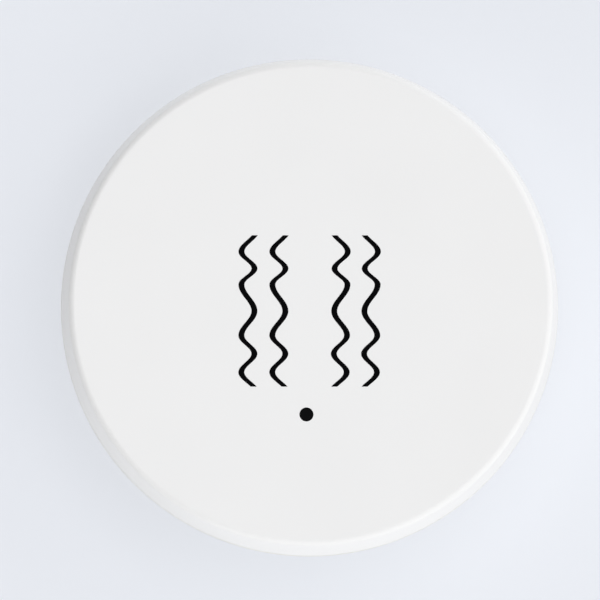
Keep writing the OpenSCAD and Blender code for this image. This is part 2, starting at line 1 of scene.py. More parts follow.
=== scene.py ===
# %% [markdown]
# # A round vibration sensor tag
#
# The tag is a white moulded disc that sticks to a door or a machine and reports when it shakes. Its
# head pulls off a base, and inside are a board, a coin cell, a radio and a small spring switch.
#
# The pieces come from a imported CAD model, at their real size and place. This lesson leaves them
# where they are and gives them their looks: a camera, light, finishes, and the small things that a
# CAD model leaves out, such as ink, solder, copper tracks and foam. Blender works in metres here,
# so a size in millimetres is multiplied by MM.

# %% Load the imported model
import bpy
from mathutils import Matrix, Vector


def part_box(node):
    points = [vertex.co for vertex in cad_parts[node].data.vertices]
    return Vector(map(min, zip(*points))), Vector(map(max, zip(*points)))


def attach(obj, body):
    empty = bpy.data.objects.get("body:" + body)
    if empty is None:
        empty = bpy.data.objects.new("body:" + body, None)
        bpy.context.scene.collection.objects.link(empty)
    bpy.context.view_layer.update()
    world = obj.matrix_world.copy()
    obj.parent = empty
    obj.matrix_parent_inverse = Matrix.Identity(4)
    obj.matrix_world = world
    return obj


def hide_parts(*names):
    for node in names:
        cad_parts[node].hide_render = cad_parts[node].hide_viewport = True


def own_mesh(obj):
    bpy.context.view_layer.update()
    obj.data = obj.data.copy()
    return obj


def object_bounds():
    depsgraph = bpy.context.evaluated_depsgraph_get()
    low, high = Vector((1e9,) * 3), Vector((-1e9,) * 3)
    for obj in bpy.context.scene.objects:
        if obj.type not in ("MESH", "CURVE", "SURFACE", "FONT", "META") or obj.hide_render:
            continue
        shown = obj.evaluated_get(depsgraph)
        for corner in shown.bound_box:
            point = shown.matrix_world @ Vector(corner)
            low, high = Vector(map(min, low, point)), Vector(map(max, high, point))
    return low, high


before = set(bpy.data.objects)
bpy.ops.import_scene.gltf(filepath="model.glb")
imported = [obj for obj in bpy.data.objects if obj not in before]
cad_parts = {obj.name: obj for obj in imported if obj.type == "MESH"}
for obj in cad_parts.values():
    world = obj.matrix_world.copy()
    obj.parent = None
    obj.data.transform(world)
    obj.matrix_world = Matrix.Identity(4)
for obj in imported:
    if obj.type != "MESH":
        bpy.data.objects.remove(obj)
cad_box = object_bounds()

# %% Modules and the millimetre
import math

import bmesh
import bpy
from mathutils import Matrix, Vector, noise

MM = 0.001
scene = bpy.context.scene
size = (cad_box[1] - cad_box[0]) / MM
print("the tag measures %.1f x %.1f x %.1f mm" % tuple(size))

# %% [markdown]
# ## The camera
#
# The photograph looks almost straight down on the face. Its lower rim shows wider than its upper
# one, and its left rim a little wider than its right one, so the camera leans two degrees to the
# near side and less than one to the left. A wide lens would make the near face hide the side wall,
# so the camera stands far off with a long lens, as a product photographer would place it.
#
# The photograph gives the disc's middle and its radius in pixels. The radius sets the lens, and the
# lens shift puts the middle in its place without turning the camera. The camera could be aimed by a
# constraint. Its axes are written out instead, so that the top of the picture is the far side of
# the tag.

# %% Camera over the face
FRAME_PX = 600
DISC_RADIUS_PX = 249
DISC_CENTRE_PX = (310.0, 306.3)
CAMERA_HEIGHT = 2.0
LEAN_NEAR = math.radians(2.1)
LEAN_LEFT = math.radians(0.66)
SENSOR = 36
CLIP_END = 10

disc_radius = (cad_box[1].x - cad_box[0].x) / 2
camera_data = bpy.data.cameras.new("face_camera")
camera = bpy.data.objects.new("face_camera", camera_data)
scene.collection.objects.link(camera)
scene.camera = camera
aim = (cad_box[0] + cad_box[1]) / 2
away = Vector((-math.tan(LEAN_LEFT), -math.tan(LEAN_NEAR), 1)).normalized()
across = Vector((0, 1, 0)).cross(away).normalized()
camera.location = aim + away * CAMERA_HEIGHT
camera.rotation_euler = Matrix((across, away.cross(across), away)).transposed().to_euler()
camera_data.sensor_width = SENSOR
camera_data.lens = SENSOR * (DISC_RADIUS_PX / FRAME_PX) * CAMERA_HEIGHT / disc_radius
camera_data.shift_x = (FRAME_PX / 2 - DISC_CENTRE_PX[0]) / FRAME_PX
camera_data.shift_y = (DISC_CENTRE_PX[1] - FRAME_PX / 2) / FRAME_PX
camera_data.clip_end = CLIP_END
print("lens %.0f mm, %.2f m above the tag" % (camera_data.lens, CAMERA_HEIGHT))

# %% [markdown]
# ## The lamps
#
# In the photograph the rim is a little brighter than the face nearly all round, and dark only on
# the left. So the tag lay among white walls on a light table, with something dark to its left. Most
# of that light comes from the sky of the next step. Two large soft lamps, to the right and on the
# near side, lift the rim where it is brightest, and a wide one overhead fills the face.
#
# The power of a lamp could be found by trying watts. Here it is set by the brightness that the lamp
# gives a white card at the tag, which is easier to reason about: the watts follow from the
# distance.

# %% Lamps


def soft_lamp(name, direction, distance, width, level):
    """A square lamp that gives a white card which faces it this level of brightness at the tag."""
    data = bpy.data.lights.new(name, "AREA")
    data.size = width
    # A card at a distance gets watts / (pi * distance ** 2), and shows 1 / pi of what it gets.
    data.energy = level * math.pi * math.pi * distance ** 2
    lamp = bpy.data.objects.new(name, data)
    scene.collection.objects.link(lamp)
    lamp.location = aim + Vector(direction).normalized() * distance
    lamp.rotation_euler = Vector(direction).to_track_quat("Z", "Y").to_euler()
    print("%s: %.2f W" % (name, data.energy))


soft_lamp("key_right", direction=(0.72, 0.69, 0.5), distance=0.7, width=0.5, level=0.05)
soft_lamp("key_near", direction=(-0.31, -0.95, 0.35), distance=0.7, width=0.5, level=0.24)
soft_lamp("top_fill", direction=(0.1, 0.1, 1.0), distance=2.6, width=2.2, level=0.3)

# %% [markdown]
# ## The sky
#
# White walls and a dark side could be large cards round the tag, but they would stand in the way of
# other views. A sky gives the same light with nothing in the way: it is brightest near the horizon,
# dimmer overhead and dark to the left, and it also shines from below, as a light table does. Rays
# that show in the picture see a plain pale blue instead, so the background is even.

# %% Helpers for the sky and the floor


def math_node(tree, operation, first, second):
    """One step of arithmetic on two sockets. The second may be a plain number instead."""
    step = tree.nodes.new("ShaderNodeMath")
    step.operation = operation
    tree.links.new(first, step.inputs[0])
    if isinstance(second, float):
        step.inputs[1].default_value = second
    else:
        tree.links.new(second, step.inputs[1])
    return step.outputs[0]


def mix_node(tree, share, first, second):
    """The first shader, with a share of the second."""
    mixed = tree.nodes.new("ShaderNodeMixShader")
    for socket, source in zip(mixed.inputs, (share, first, second)):
        tree.links.new(source, socket)
    return mixed.outputs[0]


def seen_ray(tree):
    """1 for a ray that shows in the picture: straight, in a reflection or through something clear."""
    ray = tree.nodes.new("ShaderNodeLightPath").outputs
    straight_or_mirror = math_node(tree, "MAXIMUM", ray["Is Camera Ray"], ray["Is Glossy Ray"])
    return math_node(tree, "MAXIMUM", straight_or_mirror, ray["Is Transmission Ray"])


print("helpers made:", math_node.__name__, mix_node.__name__, seen_ray.__name__)

# %% A level that changes with the direction
world = bpy.data.worlds.new("white_room")
scene.world = world
world.use_nodes = True
sky = world.node_tree
direction = sky.nodes.new("ShaderNodeTexCoord").outputs["Generated"]


def sky_slope(toward, ends, values):
    """A level that runs between two values as the direction turns toward one way."""
    share = sky.nodes.new("ShaderNodeVectorMath")
    share.operation = "DOT_PRODUCT"
    share.inputs[1].default_value = toward
    sky.links.new(direction, share.inputs[0])
    slope = sky.nodes.new("ShaderNodeMapRange")
    for label, value in zip(("From Min", "From Max", "To Min", "To Max"), (*ends, *values)):
        slope.inputs[label].default_value = value
    sky.links.new(share.outputs["Value"], slope.inputs["Value"])
    return slope.outputs[0]


print("world:", world.name)

# %% Light and dark in the sky
SKY_HORIZON = 1.1
SKY_OVERHEAD = 0.74
SKY_BELOW = 0.95
HORIZON_BLUR = 0.02
DARK_WAY = (-0.95, 0.04, 0.3)
DARK_STARTS = 0.08
UP = (0, 0, 1)
PALE_BLUE = (0.84, 0.865, 0.925, 1)

above = sky_slope(UP, (0, 1), (SKY_HORIZON, SKY_OVERHEAD))
not_dark = sky_slope(DARK_WAY, (DARK_STARTS, 1), (1, 0))
upper_half = sky_slope(UP, (-HORIZON_BLUR, 0), (0, 1))
lower_half = sky_slope(UP, (-HORIZON_BLUR, 0), (SKY_BELOW, 0))
walls = math_node(sky, "MULTIPLY", math_node(sky, "MULTIPLY", above, not_dark), upper_half)
room = sky.nodes["Background"]
room.inputs["Color"].default_value = (1, 1, 1, 1)
sky.links.new(math_node(sky, "ADD", walls, lower_half), room.inputs["Strength"])
backdrop = sky.nodes.new("ShaderNodeBackground")
backdrop.inputs["Color"].default_value = PALE_BLUE
shown = mix_node(sky, seen_ray(sky), room.outputs[0], backdrop.outputs[0])
sky.links.new(shown, sky.nodes["World Output"].inputs["Surface"])
scene.view_settings.view_transform = "Standard"
print("sky:", SKY_HORIZON, "at the horizon,", SKY_OVERHEAD, "overhead and", SKY_BELOW, "from below")

# %% [markdown]
# ## The floor
#
# The tag lies on a plain pale blue-grey sheet that keeps its shadow. More light on the sheet would
# also brighten the tag. So the sheet glows a little where it is seen, as a light table does, and
# the shaded rim still stands out against it. It lets the light from below through, and it is clear
# from below, so that the back can be looked at too. It lies a hair under the tag, because two faces
# at one height would flicker.

# %% Floor sheet
FLOOR_HALF = 4.0
FLOOR_GAP = 0.02 * MM

floor_z = cad_box[0].z - FLOOR_GAP
floor_mesh = bpy.data.meshes.new("floor")
floor_signs = ((-1, -1), (1, -1), (1, 1), (-1, 1))
floor_corners = [(x * FLOOR_HALF, y * FLOOR_HALF, floor_z) for x, y in floor_signs]
floor_mesh.from_pydata(floor_corners, [], [(0, 1, 2, 3)])
floor = bpy.data.objects.new("floor", floor_mesh)
scene.collection.objects.link(floor)
print("floor:", floor.name, "at z = %.2f mm" % (floor_z / MM))

# %% Floor finish
FLOOR_COLOUR = (0.83, 0.855, 0.9, 1)
FLOOR_ROUGHNESS = 0.9
FLOOR_GLOSS = 0.1
GLOW_SHARE = 0.5

floor_finish = bpy.data.materials.new("pale_floor")
floor_finish.use_nodes = True
floor_tree = floor_finish.node_tree
floor_shader = floor_tree.nodes["Principled BSDF"]
floor_shader.inputs["Base Color"].default_value = FLOOR_COLOUR
floor_shader.inputs["Roughness"].default_value = FLOOR_ROUGHNESS
floor_shader.inputs["Specular IOR Level"].default_value = FLOOR_GLOSS
glow = floor_tree.nodes.new("ShaderNodeEmission")
glow.inputs["Color"].default_value = PALE_BLUE
clear = floor_tree.nodes.new("ShaderNodeBsdfTransparent")
floor_ray = floor_tree.nodes.new("ShaderNodeLightPath").outputs
behind = floor_tree.nodes.new("ShaderNodeNewGeometry").outputs["Backfacing"]
glowing = math_node(floor_tree, "MULTIPLY", seen_ray(floor_tree), GLOW_SHARE)
table = mix_node(floor_tree, glowing, floor_shader.outputs[0], glow.outputs[0])
lights_only = math_node(floor_tree, "MAXIMUM", floor_ray["Is Shadow Ray"], floor_ray["Is Diffuse Ray"])
let_through = math_node(floor_tree, "MAXIMUM", lights_only, behind)
table = mix_node(floor_tree, let_through, table, clear.outputs[0])
floor_tree.links.new(table, floor_tree.nodes["Material Output"].inputs["Surface"])
floor_mesh.materials.append(floor_finish)
print("floor finish:", floor_finish.name, "with", len(floor_tree.nodes), "nodes")

# %% [markdown]
# ## Surface textures as node groups
#
# A moulding, a rolled sheet, a turned can and a foam each have a fine texture that several finishes
# share. It could be drawn anew in every material. As a node group it is built once, and a material
# only chooses a group, two colours and two roughness values. All groups have the same two outputs:
# Height, which a bump reads, and Patch, a slow change over the surface that shifts the colour and
# the roughness a little.

# %% Node helpers


def add_node(tree, kind, **settings):
    """Add a node. A setting with a capital letter is an input, and any other is a property."""
    node = tree.nodes.new(kind)
    for key, value in settings.items():
        if key[0].isupper():
            node.inputs[key.replace("_", " ")].default_value = value
        else:
            setattr(node, key, value)
    return node


def texture_group(name, inputs):
    """An empty group with number inputs and the outputs Height and Patch."""
    group = bpy.data.node_groups.new(name, "ShaderNodeTree")
    for label, value in inputs.items():
        socket = group.interface.new_socket(label, in_out="INPUT", socket_type="NodeSocketFloat")
        socket.default_value = value
    for label in ("Height", "Patch"):
        group.interface.new_socket(label, in_out="OUTPUT", socket_type="NodeSocketFloat")
    return group, group.nodes.new("NodeGroupInput"), group.nodes.new("NodeGroupOutput")


print("helpers made:", add_node.__name__, texture_group.__name__)

# %% Textures at their real size


def surface_point(group):
    """The point on the surface, in the object's own metres."""
    return add_node(group, "ShaderNodeTexCoord").outputs["Object"]


def per_metre(group, source):
    """A texture scale from a size in metres: one over the size."""
    divide = add_node(group, "ShaderNodeMath", operation="DIVIDE")
    divide.inputs[0].default_value = 1
    group.links.new(source, divide.inputs[1])
    return divide.outputs[0]


def noise_at(group, size_socket, where=None, detail=2.0):
    """A noise whose blobs are about as large as the size."""
    cloud = add_node(group, "ShaderNodeTexNoise", Detail=detail)
    if where is None:
        where = surface_point(group)
    group.links.new(where, cloud.inputs["Vector"])
    group.links.new(per_metre(group, size_socket), cloud.inputs["Scale"])
    return cloud.outputs["Fac"]


print("helpers made:", surface_point.__name__, per_metre.__name__, noise_at.__name__)

# %% [markdown]
# ### Moulded grain
#
# The mould of a plastic case is eroded by sparks, which leaves a fine even grain on each moulding.
# The same fine noise serves for ink, ceramic, solder and the lacquer of a board. An image of grain
# would need a UV map for each piece. A noise that reads the object's own metres needs none, and has
# its real size on all.

# %% Group: moulded grain
grain, grain_in, grain_out = texture_group("moulded_grain", {"Size": 0.14 * MM, "Patch Size": 9 * MM})
grain.links.new(noise_at(grain, grain_in.outputs["Size"], detail=3), grain_out.inputs["Height"])
grain.links.new(noise_at(grain, grain_in.outputs["Patch Size"]), grain_out.inputs["Patch"])
print("group:", grain.name)

# %% [markdown]
# ### Brushed sheet
#
# Tinned and gold-plated sheet shows fine streaks along the way in which it was rolled. A wave
# texture would draw them too evenly. A noise becomes streaks when it is stretched: X is divided by
# a length, so each blob grows that many times longer along X.

# %% Group: brushed sheet
brushed, brushed_in, brushed_out = texture_group(
    "brushed_sheet", {"Size": 0.05 * MM, "Length": 30.0, "Patch Size": 2 * MM})
axes = add_node(brushed, "ShaderNodeSeparateXYZ")
brushed.links.new(surface_point(brushed), axes.inputs[0])
shorter = add_node(brushed, "ShaderNodeMath", operation="DIVIDE")
brushed.links.new(axes.outputs["X"], shorter.inputs[0])
brushed.links.new(brushed_in.outputs["Length"], shorter.inputs[1])
stretched = add_node(brushed, "ShaderNodeCombineXYZ")
brushed.links.new(shorter.outputs[0], stretched.inputs["X"])
brushed.links.new(axes.outputs["Y"], stretched.inputs["Y"])
brushed.links.new(axes.outputs["Z"], stretched.inputs["Z"])
streaks = noise_at(brushed, brushed_in.outputs["Size"], stretched.outputs[0])
brushed.links.new(streaks, brushed_out.inputs["Height"])
brushed.links.new(noise_at(brushed, brushed_in.outputs["Patch Size"]), brushed_out.inputs["Patch"])
print("group:", brushed.name)

# %% [markdown]
# ### Turned face
#
# The can of a coin cell is drawn and polished round its axis, so its fine marks are rings. A ring
# texture of Blender's own is too regular. Here a noise reads nothing but the distance from the
# axis, so every ring has a strength of its own. The middle of the rings is an input of the group.

# %% Group: turned face
turned_face, turned_in, turned_out = texture_group(
    "turned_face", {"Size": 0.05 * MM, "Centre X": 0.0, "Centre Y": 0.0, "Patch Size": 5 * MM})
middle = add_node(turned_face, "ShaderNodeCombineXYZ")
turned_face.links.new(turned_in.outputs["Centre X"], middle.inputs["X"])
turned_face.links.new(turned_in.outputs["Centre Y"], middle.inputs["Y"])
offset = add_node(turned_face, "ShaderNodeVectorMath", operation="SUBTRACT")
turned_face.links.new(surface_point(turned_face), offset.inputs[0])
turned_face.links.new(middle.outputs[0], offset.inputs[1])
flat = add_node(turned_face, "ShaderNodeVectorMath", operation="MULTIPLY")
flat.inputs[1].default_value = (1, 1, 0)
turned_face.links.new(offset.outputs[0], flat.inputs[0])
distance = add_node(turned_face, "ShaderNodeVectorMath", operation="LENGTH")
turned_face.links.new(flat.outputs[0], distance.inputs[0])
along_radius = add_node(turned_face, "ShaderNodeCombineXYZ")
turned_face.links.new(distance.outputs["Value"], along_radius.inputs["X"])
rings = noise_at(turned_face, turned_in.outputs["Size"], along_radius.outputs[0])
turned_face.links.new(rings, turned_out.inputs["Height"])
patches = noise_at(turned_face, turned_in.outputs["Patch Size"])
turned_face.links.new(patches, turned_out.inputs["Patch"])
print("group:", turned_face.name)

# %% [markdown]
# ### Open foam
#
# A cut through foam shows small round cells. A noise has no cells, but a Voronoi texture is made of
# them: its value is the distance to the nearest middle, so each cell becomes a small bowl.

# %% Group: open foam
foam, foam_in, foam_out = texture_group("open_foam", {"Size": 0.25 * MM, "Patch Size": 3 * MM})
pores = add_node(foam, "ShaderNodeTexVoronoi", feature="F1")
foam.links.new(surface_point(foam), pores.inputs["Vector"])
foam.links.new(per_metre(foam, foam_in.outputs["Size"]), pores.inputs["Scale"])
foam.links.new(pores.outputs["Distance"], foam_out.inputs["Height"])
foam.links.new(noise_at(foam, foam_in.outputs["Patch Size"]), foam_out.inputs["Patch"])
print("group:", foam.name)

# %% [markdown]
# ## Finishes
#
# Every finish is made by one short function. It takes two colours and two roughness values, and the
# group's Patch slides between them, so no surface is one flat colour. The depth of the bump is
# given in millimetres, which keeps it true to the real surface: a moulding's grain is a few
# thousandths deep.

# %% Colours as a painter reads them


def linear(red, green, blue):
    """A colour of 0 to 255 in each part, turned into Blender's linear values by the sRGB curve."""
    shares = (red / 255, green / 255, blue / 255)
    return tuple(s / 12.92 if s <= 0.04045 else ((s + 0.055) / 1.055) ** 2.4 for s in shares)


print("a mid grey of 128 is", round(linear(128, 128, 128)[0], 3), "in linear light")

# %% The finish function
# The Mix node has a set of sockets for each kind of data. These are its colour sockets.
MIX_A = 6
MIX_B = 7
MIX_RESULT = 2
COAT_ROUGHNESS = 0.12


def finish(name, colours, roughness, group, depth_mm, metallic=0.0, gloss=0.5, coat=0.0, **group_values):
    """A material from two colours, two roughness values, a texture group and the depth of its bump.
    The values that are left over go to the inputs of the group."""
    material = bpy.data.materials.new(name)
    material.use_nodes = True
    tree = material.node_tree
    shader = tree.nodes["Principled BSDF"]
    texture = add_node(tree, "ShaderNodeGroup", node_tree=group, **group_values)
    blend = add_node(tree, "ShaderNodeMix", data_type="RGBA")
    blend.inputs[MIX_A].default_value = (*linear(*colours[0]), 1)
    blend.inputs[MIX_B].default_value = (*linear(*colours[1]), 1)
    tree.links.new(texture.outputs["Patch"], blend.inputs["Factor"])
    tree.links.new(blend.outputs[MIX_RESULT], shader.inputs["Base Color"])
    spread = add_node(tree, "ShaderNodeMapRange", To_Min=roughness[0], To_Max=roughness[1])
    tree.links.new(texture.outputs["Patch"], spread.inputs["Value"])
    tree.links.new(spread.outputs["Result"], shader.inputs["Roughness"])
    bump = add_node(tree, "ShaderNodeBump", Strength=1.0, Distance=depth_mm * MM)
    tree.links.new(texture.outputs["Height"], bump.inputs["Height"])
    tree.links.new(bump.outputs["Normal"], shader.inputs["Normal"])
    shader.inputs["Metallic"].default_value = metallic
    shader.inputs["Specular IOR Level"].default_value = gloss
    shader.inputs["Coat Weight"].default_value = coat
    shader.inputs["Coat Roughness"].default_value = COAT_ROUGHNESS
    return material


def list_finishes(*materials):
    """Print the names of some finishes."""
    print("finishes:", ", ".join(material.name for material in materials))


print("helpers made:", finish.__name__, list_finishes.__name__)

# %% [markdown]
# ### Plastics
#
# The head and the base come from two moulds, so their whites differ a little. The tip of the light
# pipe is smoked so dark that the photograph shows no gloss on it, and its gloss goes down to match.
# The holder, the switch and the plug are engineering plastics with a coarser, duller skin. A shrunk
# sleeve is smooth and wavy, so it gets a larger grain and a thin coat. One noise at other sizes is
# enough for all of them.

# %% White plastics and the window
white_shell = finish("white_shell", ((243, 243, 243), (241, 241, 241)), (0.42, 0.5), grain, 0.004)
white_base = finish("white_base", ((238, 238, 236), (235, 235, 233)), (0.45, 0.55), grain, 0.005)
smooth_white = finish("smooth_white", ((239, 239, 237), (236, 236, 234)), (0.25, 0.35), grain, 0.001)
smoked_tip = finish("smoked_tip", ((3, 3, 4), (6, 6, 7)), (0.3, 0.45), grain, 0.001, gloss=0.03)
list_finishes(white_shell, white_base, smooth_white, smoked_tip)

# %% Plastics inside
black_nylon = finish("black_nylon", ((30, 30, 31), (40, 40, 41)), (0.45, 0.62), grain, 0.004)
switch_black = finish("switch_black", ((24, 24, 25), (33, 33, 34)), (0.4, 0.55), grain, 0.003)
ivory_plug = finish("ivory_plug", ((222, 214, 190), (212, 203, 176)), (0.5, 0.65), grain, 0.004)
blue_sleeve = finish("blue_sleeve", ((24, 42, 92), (32, 52, 106)), (0.28, 0.42), grain, 0.004,
                     coat=0.2, Size=0.5 * MM)
grey_gasket = finish("grey_gasket", ((66, 66, 68), (80, 80, 82)), (0.5, 0.6), grain, 0.003)
list_finishes(black_nylon, switch_black, ivory_plug, blue_sleeve, grey_gasket)

# %% [markdown]
# ### Metals
#
# The cell is nickel-plated steel, the contacts are gold-plated, the screws are zinc-plated, and the
# legs and the shield are tinned. A metal has no colour but that of its reflection, so these differ
# only in hue, in how sharp they mirror and in the marks of their making: rings on the cell, streaks
# on rolled sheet, and a soft large grain on solder. The middle of the rings is read from the imported
# cell, so they fit it.

# %% The metal function and the cell


def metal(name, colours, roughness, group, depth_mm, **group_values):
    """A finish that is metal all over."""
    return finish(name, colours, roughness, group, depth_mm, metallic=1.0, **group_values)


cell_low, cell_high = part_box("coin_cell_can")
cell_middle = (cell_low + cell_high) / 2
nickel = metal("nickel_can", ((205, 206, 207), (190, 191, 193)), (0.2, 0.34), turned_face, 0.0008,
               Centre_X=cell_middle.x, Centre_Y=cell_middle.y)
stamped = metal("stamped_nickel", ((150, 151, 153), (136, 137, 140)), (0.45, 0.6), grain, 0.003,
                Patch_Size=0.6 * MM)
list_finishes(nickel, stamped)

# %% Plated sheet, screws, wire and solder
tin = metal("bright_tin", ((208, 208, 205), (192, 192, 190)), (0.25, 0.42), brushed, 0.001)
zinc = metal("zinc_screw", ((190, 193, 196), (172, 176, 182)), (0.22, 0.38), brushed, 0.0015,
             Length=4.0)
gold = metal("gold_flash", ((226, 196, 132), (214, 180, 112)), (0.2, 0.34), brushed, 0.001)
spring_gold = metal("spring_gold", ((230, 200, 134), (216, 182, 114)), (0.16, 0.28), brushed, 0.0005,
                    Size=0.03 * MM)
solder = metal("solder", ((196, 198, 200), (178, 180, 183)), (0.16, 0.34), grain, 0.006,
               Size=0.4 * MM, Patch_Size=0.8 * MM)
list_finishes(tin, zinc, gold, spring_gold, solder)

# %% [markdown]
# ### Board, chips and ink
#
# A board's green is a clear-topped lacquer over glass cloth, so it gets a coat, and a track under
# the lacquer shows as the same green made lighter. The board could be made see-through, but the
# copper planes inside a real one hide what is behind. The chips are fired ceramic or moulded resin,
# with a grain that suits their size. The ink of the lines is as black and as matt as in the
# photograph.

# %% Lacquers and inks
LACQUER_COAT = 0.35
LACQUER_GRAIN = 0.35 * MM
mask_green = finish("mask_green", ((20, 88, 52), (26, 98, 60)), (0.26, 0.4), grain, 0.003,
                    coat=LACQUER_COAT, Size=LACQUER_GRAIN)
track_green = finish("track_green", ((38, 122, 74), (46, 132, 82)), (0.26, 0.38), grain, 0.002,
                     coat=LACQUER_COAT, Size=LACQUER_GRAIN)
radio_green = finish("radio_green", ((22, 74, 60), (28, 84, 68)), (0.26, 0.4), grain, 0.003,
                     coat=LACQUER_COAT, Size=LACQUER_GRAIN)
white_ink = finish("white_ink", ((232, 232, 226), (220, 220, 214)), (0.5, 0.65), grain, 0.002)
black_ink = finish("black_ink", ((3, 3, 4), (6, 6, 7)), (0.5, 0.62), grain, 0.002, gloss=0.02)
list_finishes(mask_green, track_green, radio_green, white_ink, black_ink)

# %% Chips and the lamp
ceramic = finish("brown_ceramic", ((150, 116, 82), (132, 100, 70)), (0.4, 0.55), grain, 0.004,
                 Size=0.08 * MM, Patch_Size=0.7 * MM)
black_glaze = finish("black_glaze", ((26, 26, 28), (36, 36, 38)), (0.2, 0.35), grain, 0.002,
                     Size=0.1 * MM)
amber_block = finish("amber_block", ((206, 150, 44), (192, 136, 36)), (0.3, 0.45), grain, 0.004,
                     Size=0.1 * MM)
clear_resin = finish("clear_resin", ((226, 220, 178), (236, 230, 196)), (0.12, 0.2), grain, 0.001,
                     coat=0.5)
lamp_base = finish("lamp_base", ((236, 234, 226), (226, 224, 216)), (0.45, 0.55), grain, 0.002)
list_finishes(ceramic, black_glaze, amber_block, clear_resin, lamp_base)

# %% [markdown]
# ### Foam and film
#
# The pad's foam is matt and full of cells. The film on it is a cream-coloured adhesive with some
# sheen, and the cells of the foam show through it as shallow dimples. A film of its own texture
# would look like a sticker on a plate. So both finishes take the foam group, the film with larger
# cells and a fifth of the depth.

# %% Pad finishes
foam_white = finish("foam_white", ((226, 227, 225), (212, 213, 211)), (0.8, 0.95), foam, 0.06,
                    gloss=0.2)
sticky_film = finish("sticky_film", ((216, 210, 193), (200, 194, 176)), (0.2, 0.4), foam, 0.012,
                     coat=0.25, Size=0.45 * MM, Patch_Size=5 * MM)
list_finishes(foam_white, sticky_film)

# %% [markdown]
# ## Dressing the CAD nodes
#
# Most nodes are one material on the real object too, so a plain table of node and finish is enough.
# Each node could get its own few lines, but a table shows at a glance what is made of what. Three
# nodes aren't in it, because finer pieces that are made further on stand for them.

# %% One finish for each node
DRESS = {
    "front_shell": white_shell, "base_cover": white_base, "light_pipe": smoked_tip,
    "main_board": mask_green, "board_screws": zinc,
    "cell_holder": black_nylon, "plus_contact": gold, "minus_contact": gold,
    "coin_cell_can": nickel, "coin_cell_gasket": grey_gasket, "coin_cell_cap": nickel,
    "radio_module": radio_green, "module_shield": tin, "status_led": lamp_base,
    "chip_capacitors": ceramic, "chip_resistors": black_glaze, "buffer_capacitor": amber_block,
    "switch_case": switch_black, "switch_cover": tin, "switch_plunger": switch_black,
    "switch_terminals": tin,
    "sense_tube": blue_sleeve, "sense_plug": ivory_plug, "sense_pin": tin, "sense_lead": tin,
}
for name, material in DRESS.items():
    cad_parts[name].data.materials.clear()
    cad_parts[name].data.materials.append(material)
print("dressed", len(DRESS), "nodes")

# %% [markdown]
# ## Second finishes on one node
#
# A chip has metal ends, a lamp has a clear top on a white base, a moulded capacitor has metal feet
# and a radio board has gold half-holes, though each is one node. Splitting the node would change
# the CAD model. So the faces are sorted by where they lie: the mesh stays as it is, and only the
# material number of a face is set.

# %% Find the separate solids of a node
JOIN_WITHIN = 0.001 * MM


def islands(name):
    """The boxes of a node's separate solids, as pairs of corners."""
    mesh = bmesh.new()
    mesh.from_mesh(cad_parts[name].data)
    bmesh.ops.remove_doubles(mesh, verts=mesh.verts, dist=JOIN_WITHIN)
    boxes = []
    waiting = set(mesh.verts)
    while waiting:
        solid = {waiting.pop()}
        border = solid
        while border:
            border = {edge.other_vert(v) for v in border for edge in v.link_edges} - solid
            solid = solid | border
        waiting -= solid
        low = Vector([min(v.co[i] for v in solid) for i in range(3)])
        high = Vector([max(v.co[i] for v in solid) for i in range(3)])
        boxes.append((low, high))
    mesh.free()
    return sorted(boxes, key=lambda box: tuple(box[0]))


def long_axis(low, high):
    """The axis, 0 or 1, along which a chip's box is longer."""
    return 0 if high.x - low.x > high.y - low.y else 1


CHIPS = ("chip_capacitors", "chip_resistors")
for name in CHIPS:
    print(name, "has", len(islands(name)), "solids")

# %% Tin on the ends of the chips
CHIP_END = 0.36 * MM
TOUCH = 0.01 * MM


def second_finish(name, material, belongs):
    """Give the faces whose middle passes the test a second material."""
    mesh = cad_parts[name].data
    mesh.materials.append(material)
    slot = len(mesh.materials) - 1
    count = 0
    for face in mesh.polygons:
        if belongs(face.center):
            face.material_index = slot
            count += 1
    print(name, "has", count, "faces of", material.name)


def on_chip_end(point, boxes):
    """True on the metal end of a chip."""
    for low, high in boxes:
        along = long_axis(low, high)
        inside = all(low[i] - TOUCH <= point[i] <= high[i] + TOUCH for i in range(3))
        if inside and min(point[along] - low[along], high[along] - point[along]) < CHIP_END:
            return True
    return False


for name in CHIPS:
    chips = islands(name)
    second_finish(name, tin, lambda point: on_chip_end(point, chips))

# %% The lamp's top, the capacitor's feet and the radio's half-holes
LAMP_BASE_HEIGHT = 0.32 * MM
FOOT_WRAP = 0.21 * MM
FOOT_HEIGHT = 0.81 * MM
HOLE_DEPTH = 0.32 * MM
HOLE_CLEAR = 0.02 * MM
lamp_low, lamp_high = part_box("status_led")
block_low, block_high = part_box("buffer_capacitor")
radio_low, radio_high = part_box("radio_module")


def from_side(point, low, high):
    """How far a point is from the nearer of the two sides of a box, left or right."""
    return min(point.x - low.x, high.x - point.x)


def on_lamp_top(point):
    """True on the clear resin above the lamp's base."""
    return point.z > lamp_low.z + LAMP_BASE_HEIGHT


def on_foot(point):
    """True on a metal foot that wraps up the side of the moulded capacitor."""
    return from_side(point, block_low, block_high) < FOOT_WRAP and point.z < block_low.z + FOOT_HEIGHT


def in_half_hole(point):
    """True on the wall of a half-hole in the radio board's edge, not on the board's faces or sides."""
    in_edge = HOLE_CLEAR < from_side(point, radio_low, radio_high) < HOLE_DEPTH
    return in_edge and radio_low.z + TOUCH < point.z < radio_high.z - TOUCH


second_finish("status_led", clear_resin, on_lamp_top)
second_finish("buffer_capacitor", tin, on_foot)
second_finish("radio_module", gold, in_half_hole)

# %% [markdown]
# ## New pieces
#
# The pieces below are thin or soft, so they are made here and not in CAD. Blender's own primitives
# would need many edits to get tiny sizes right. Points and faces written out by a few small helpers
# keep full control of them, and give the same mesh on every run. Each helper returns a list of
# points and a list of faces, and a list of such shapes is joined into one object.

# %% Turned solids


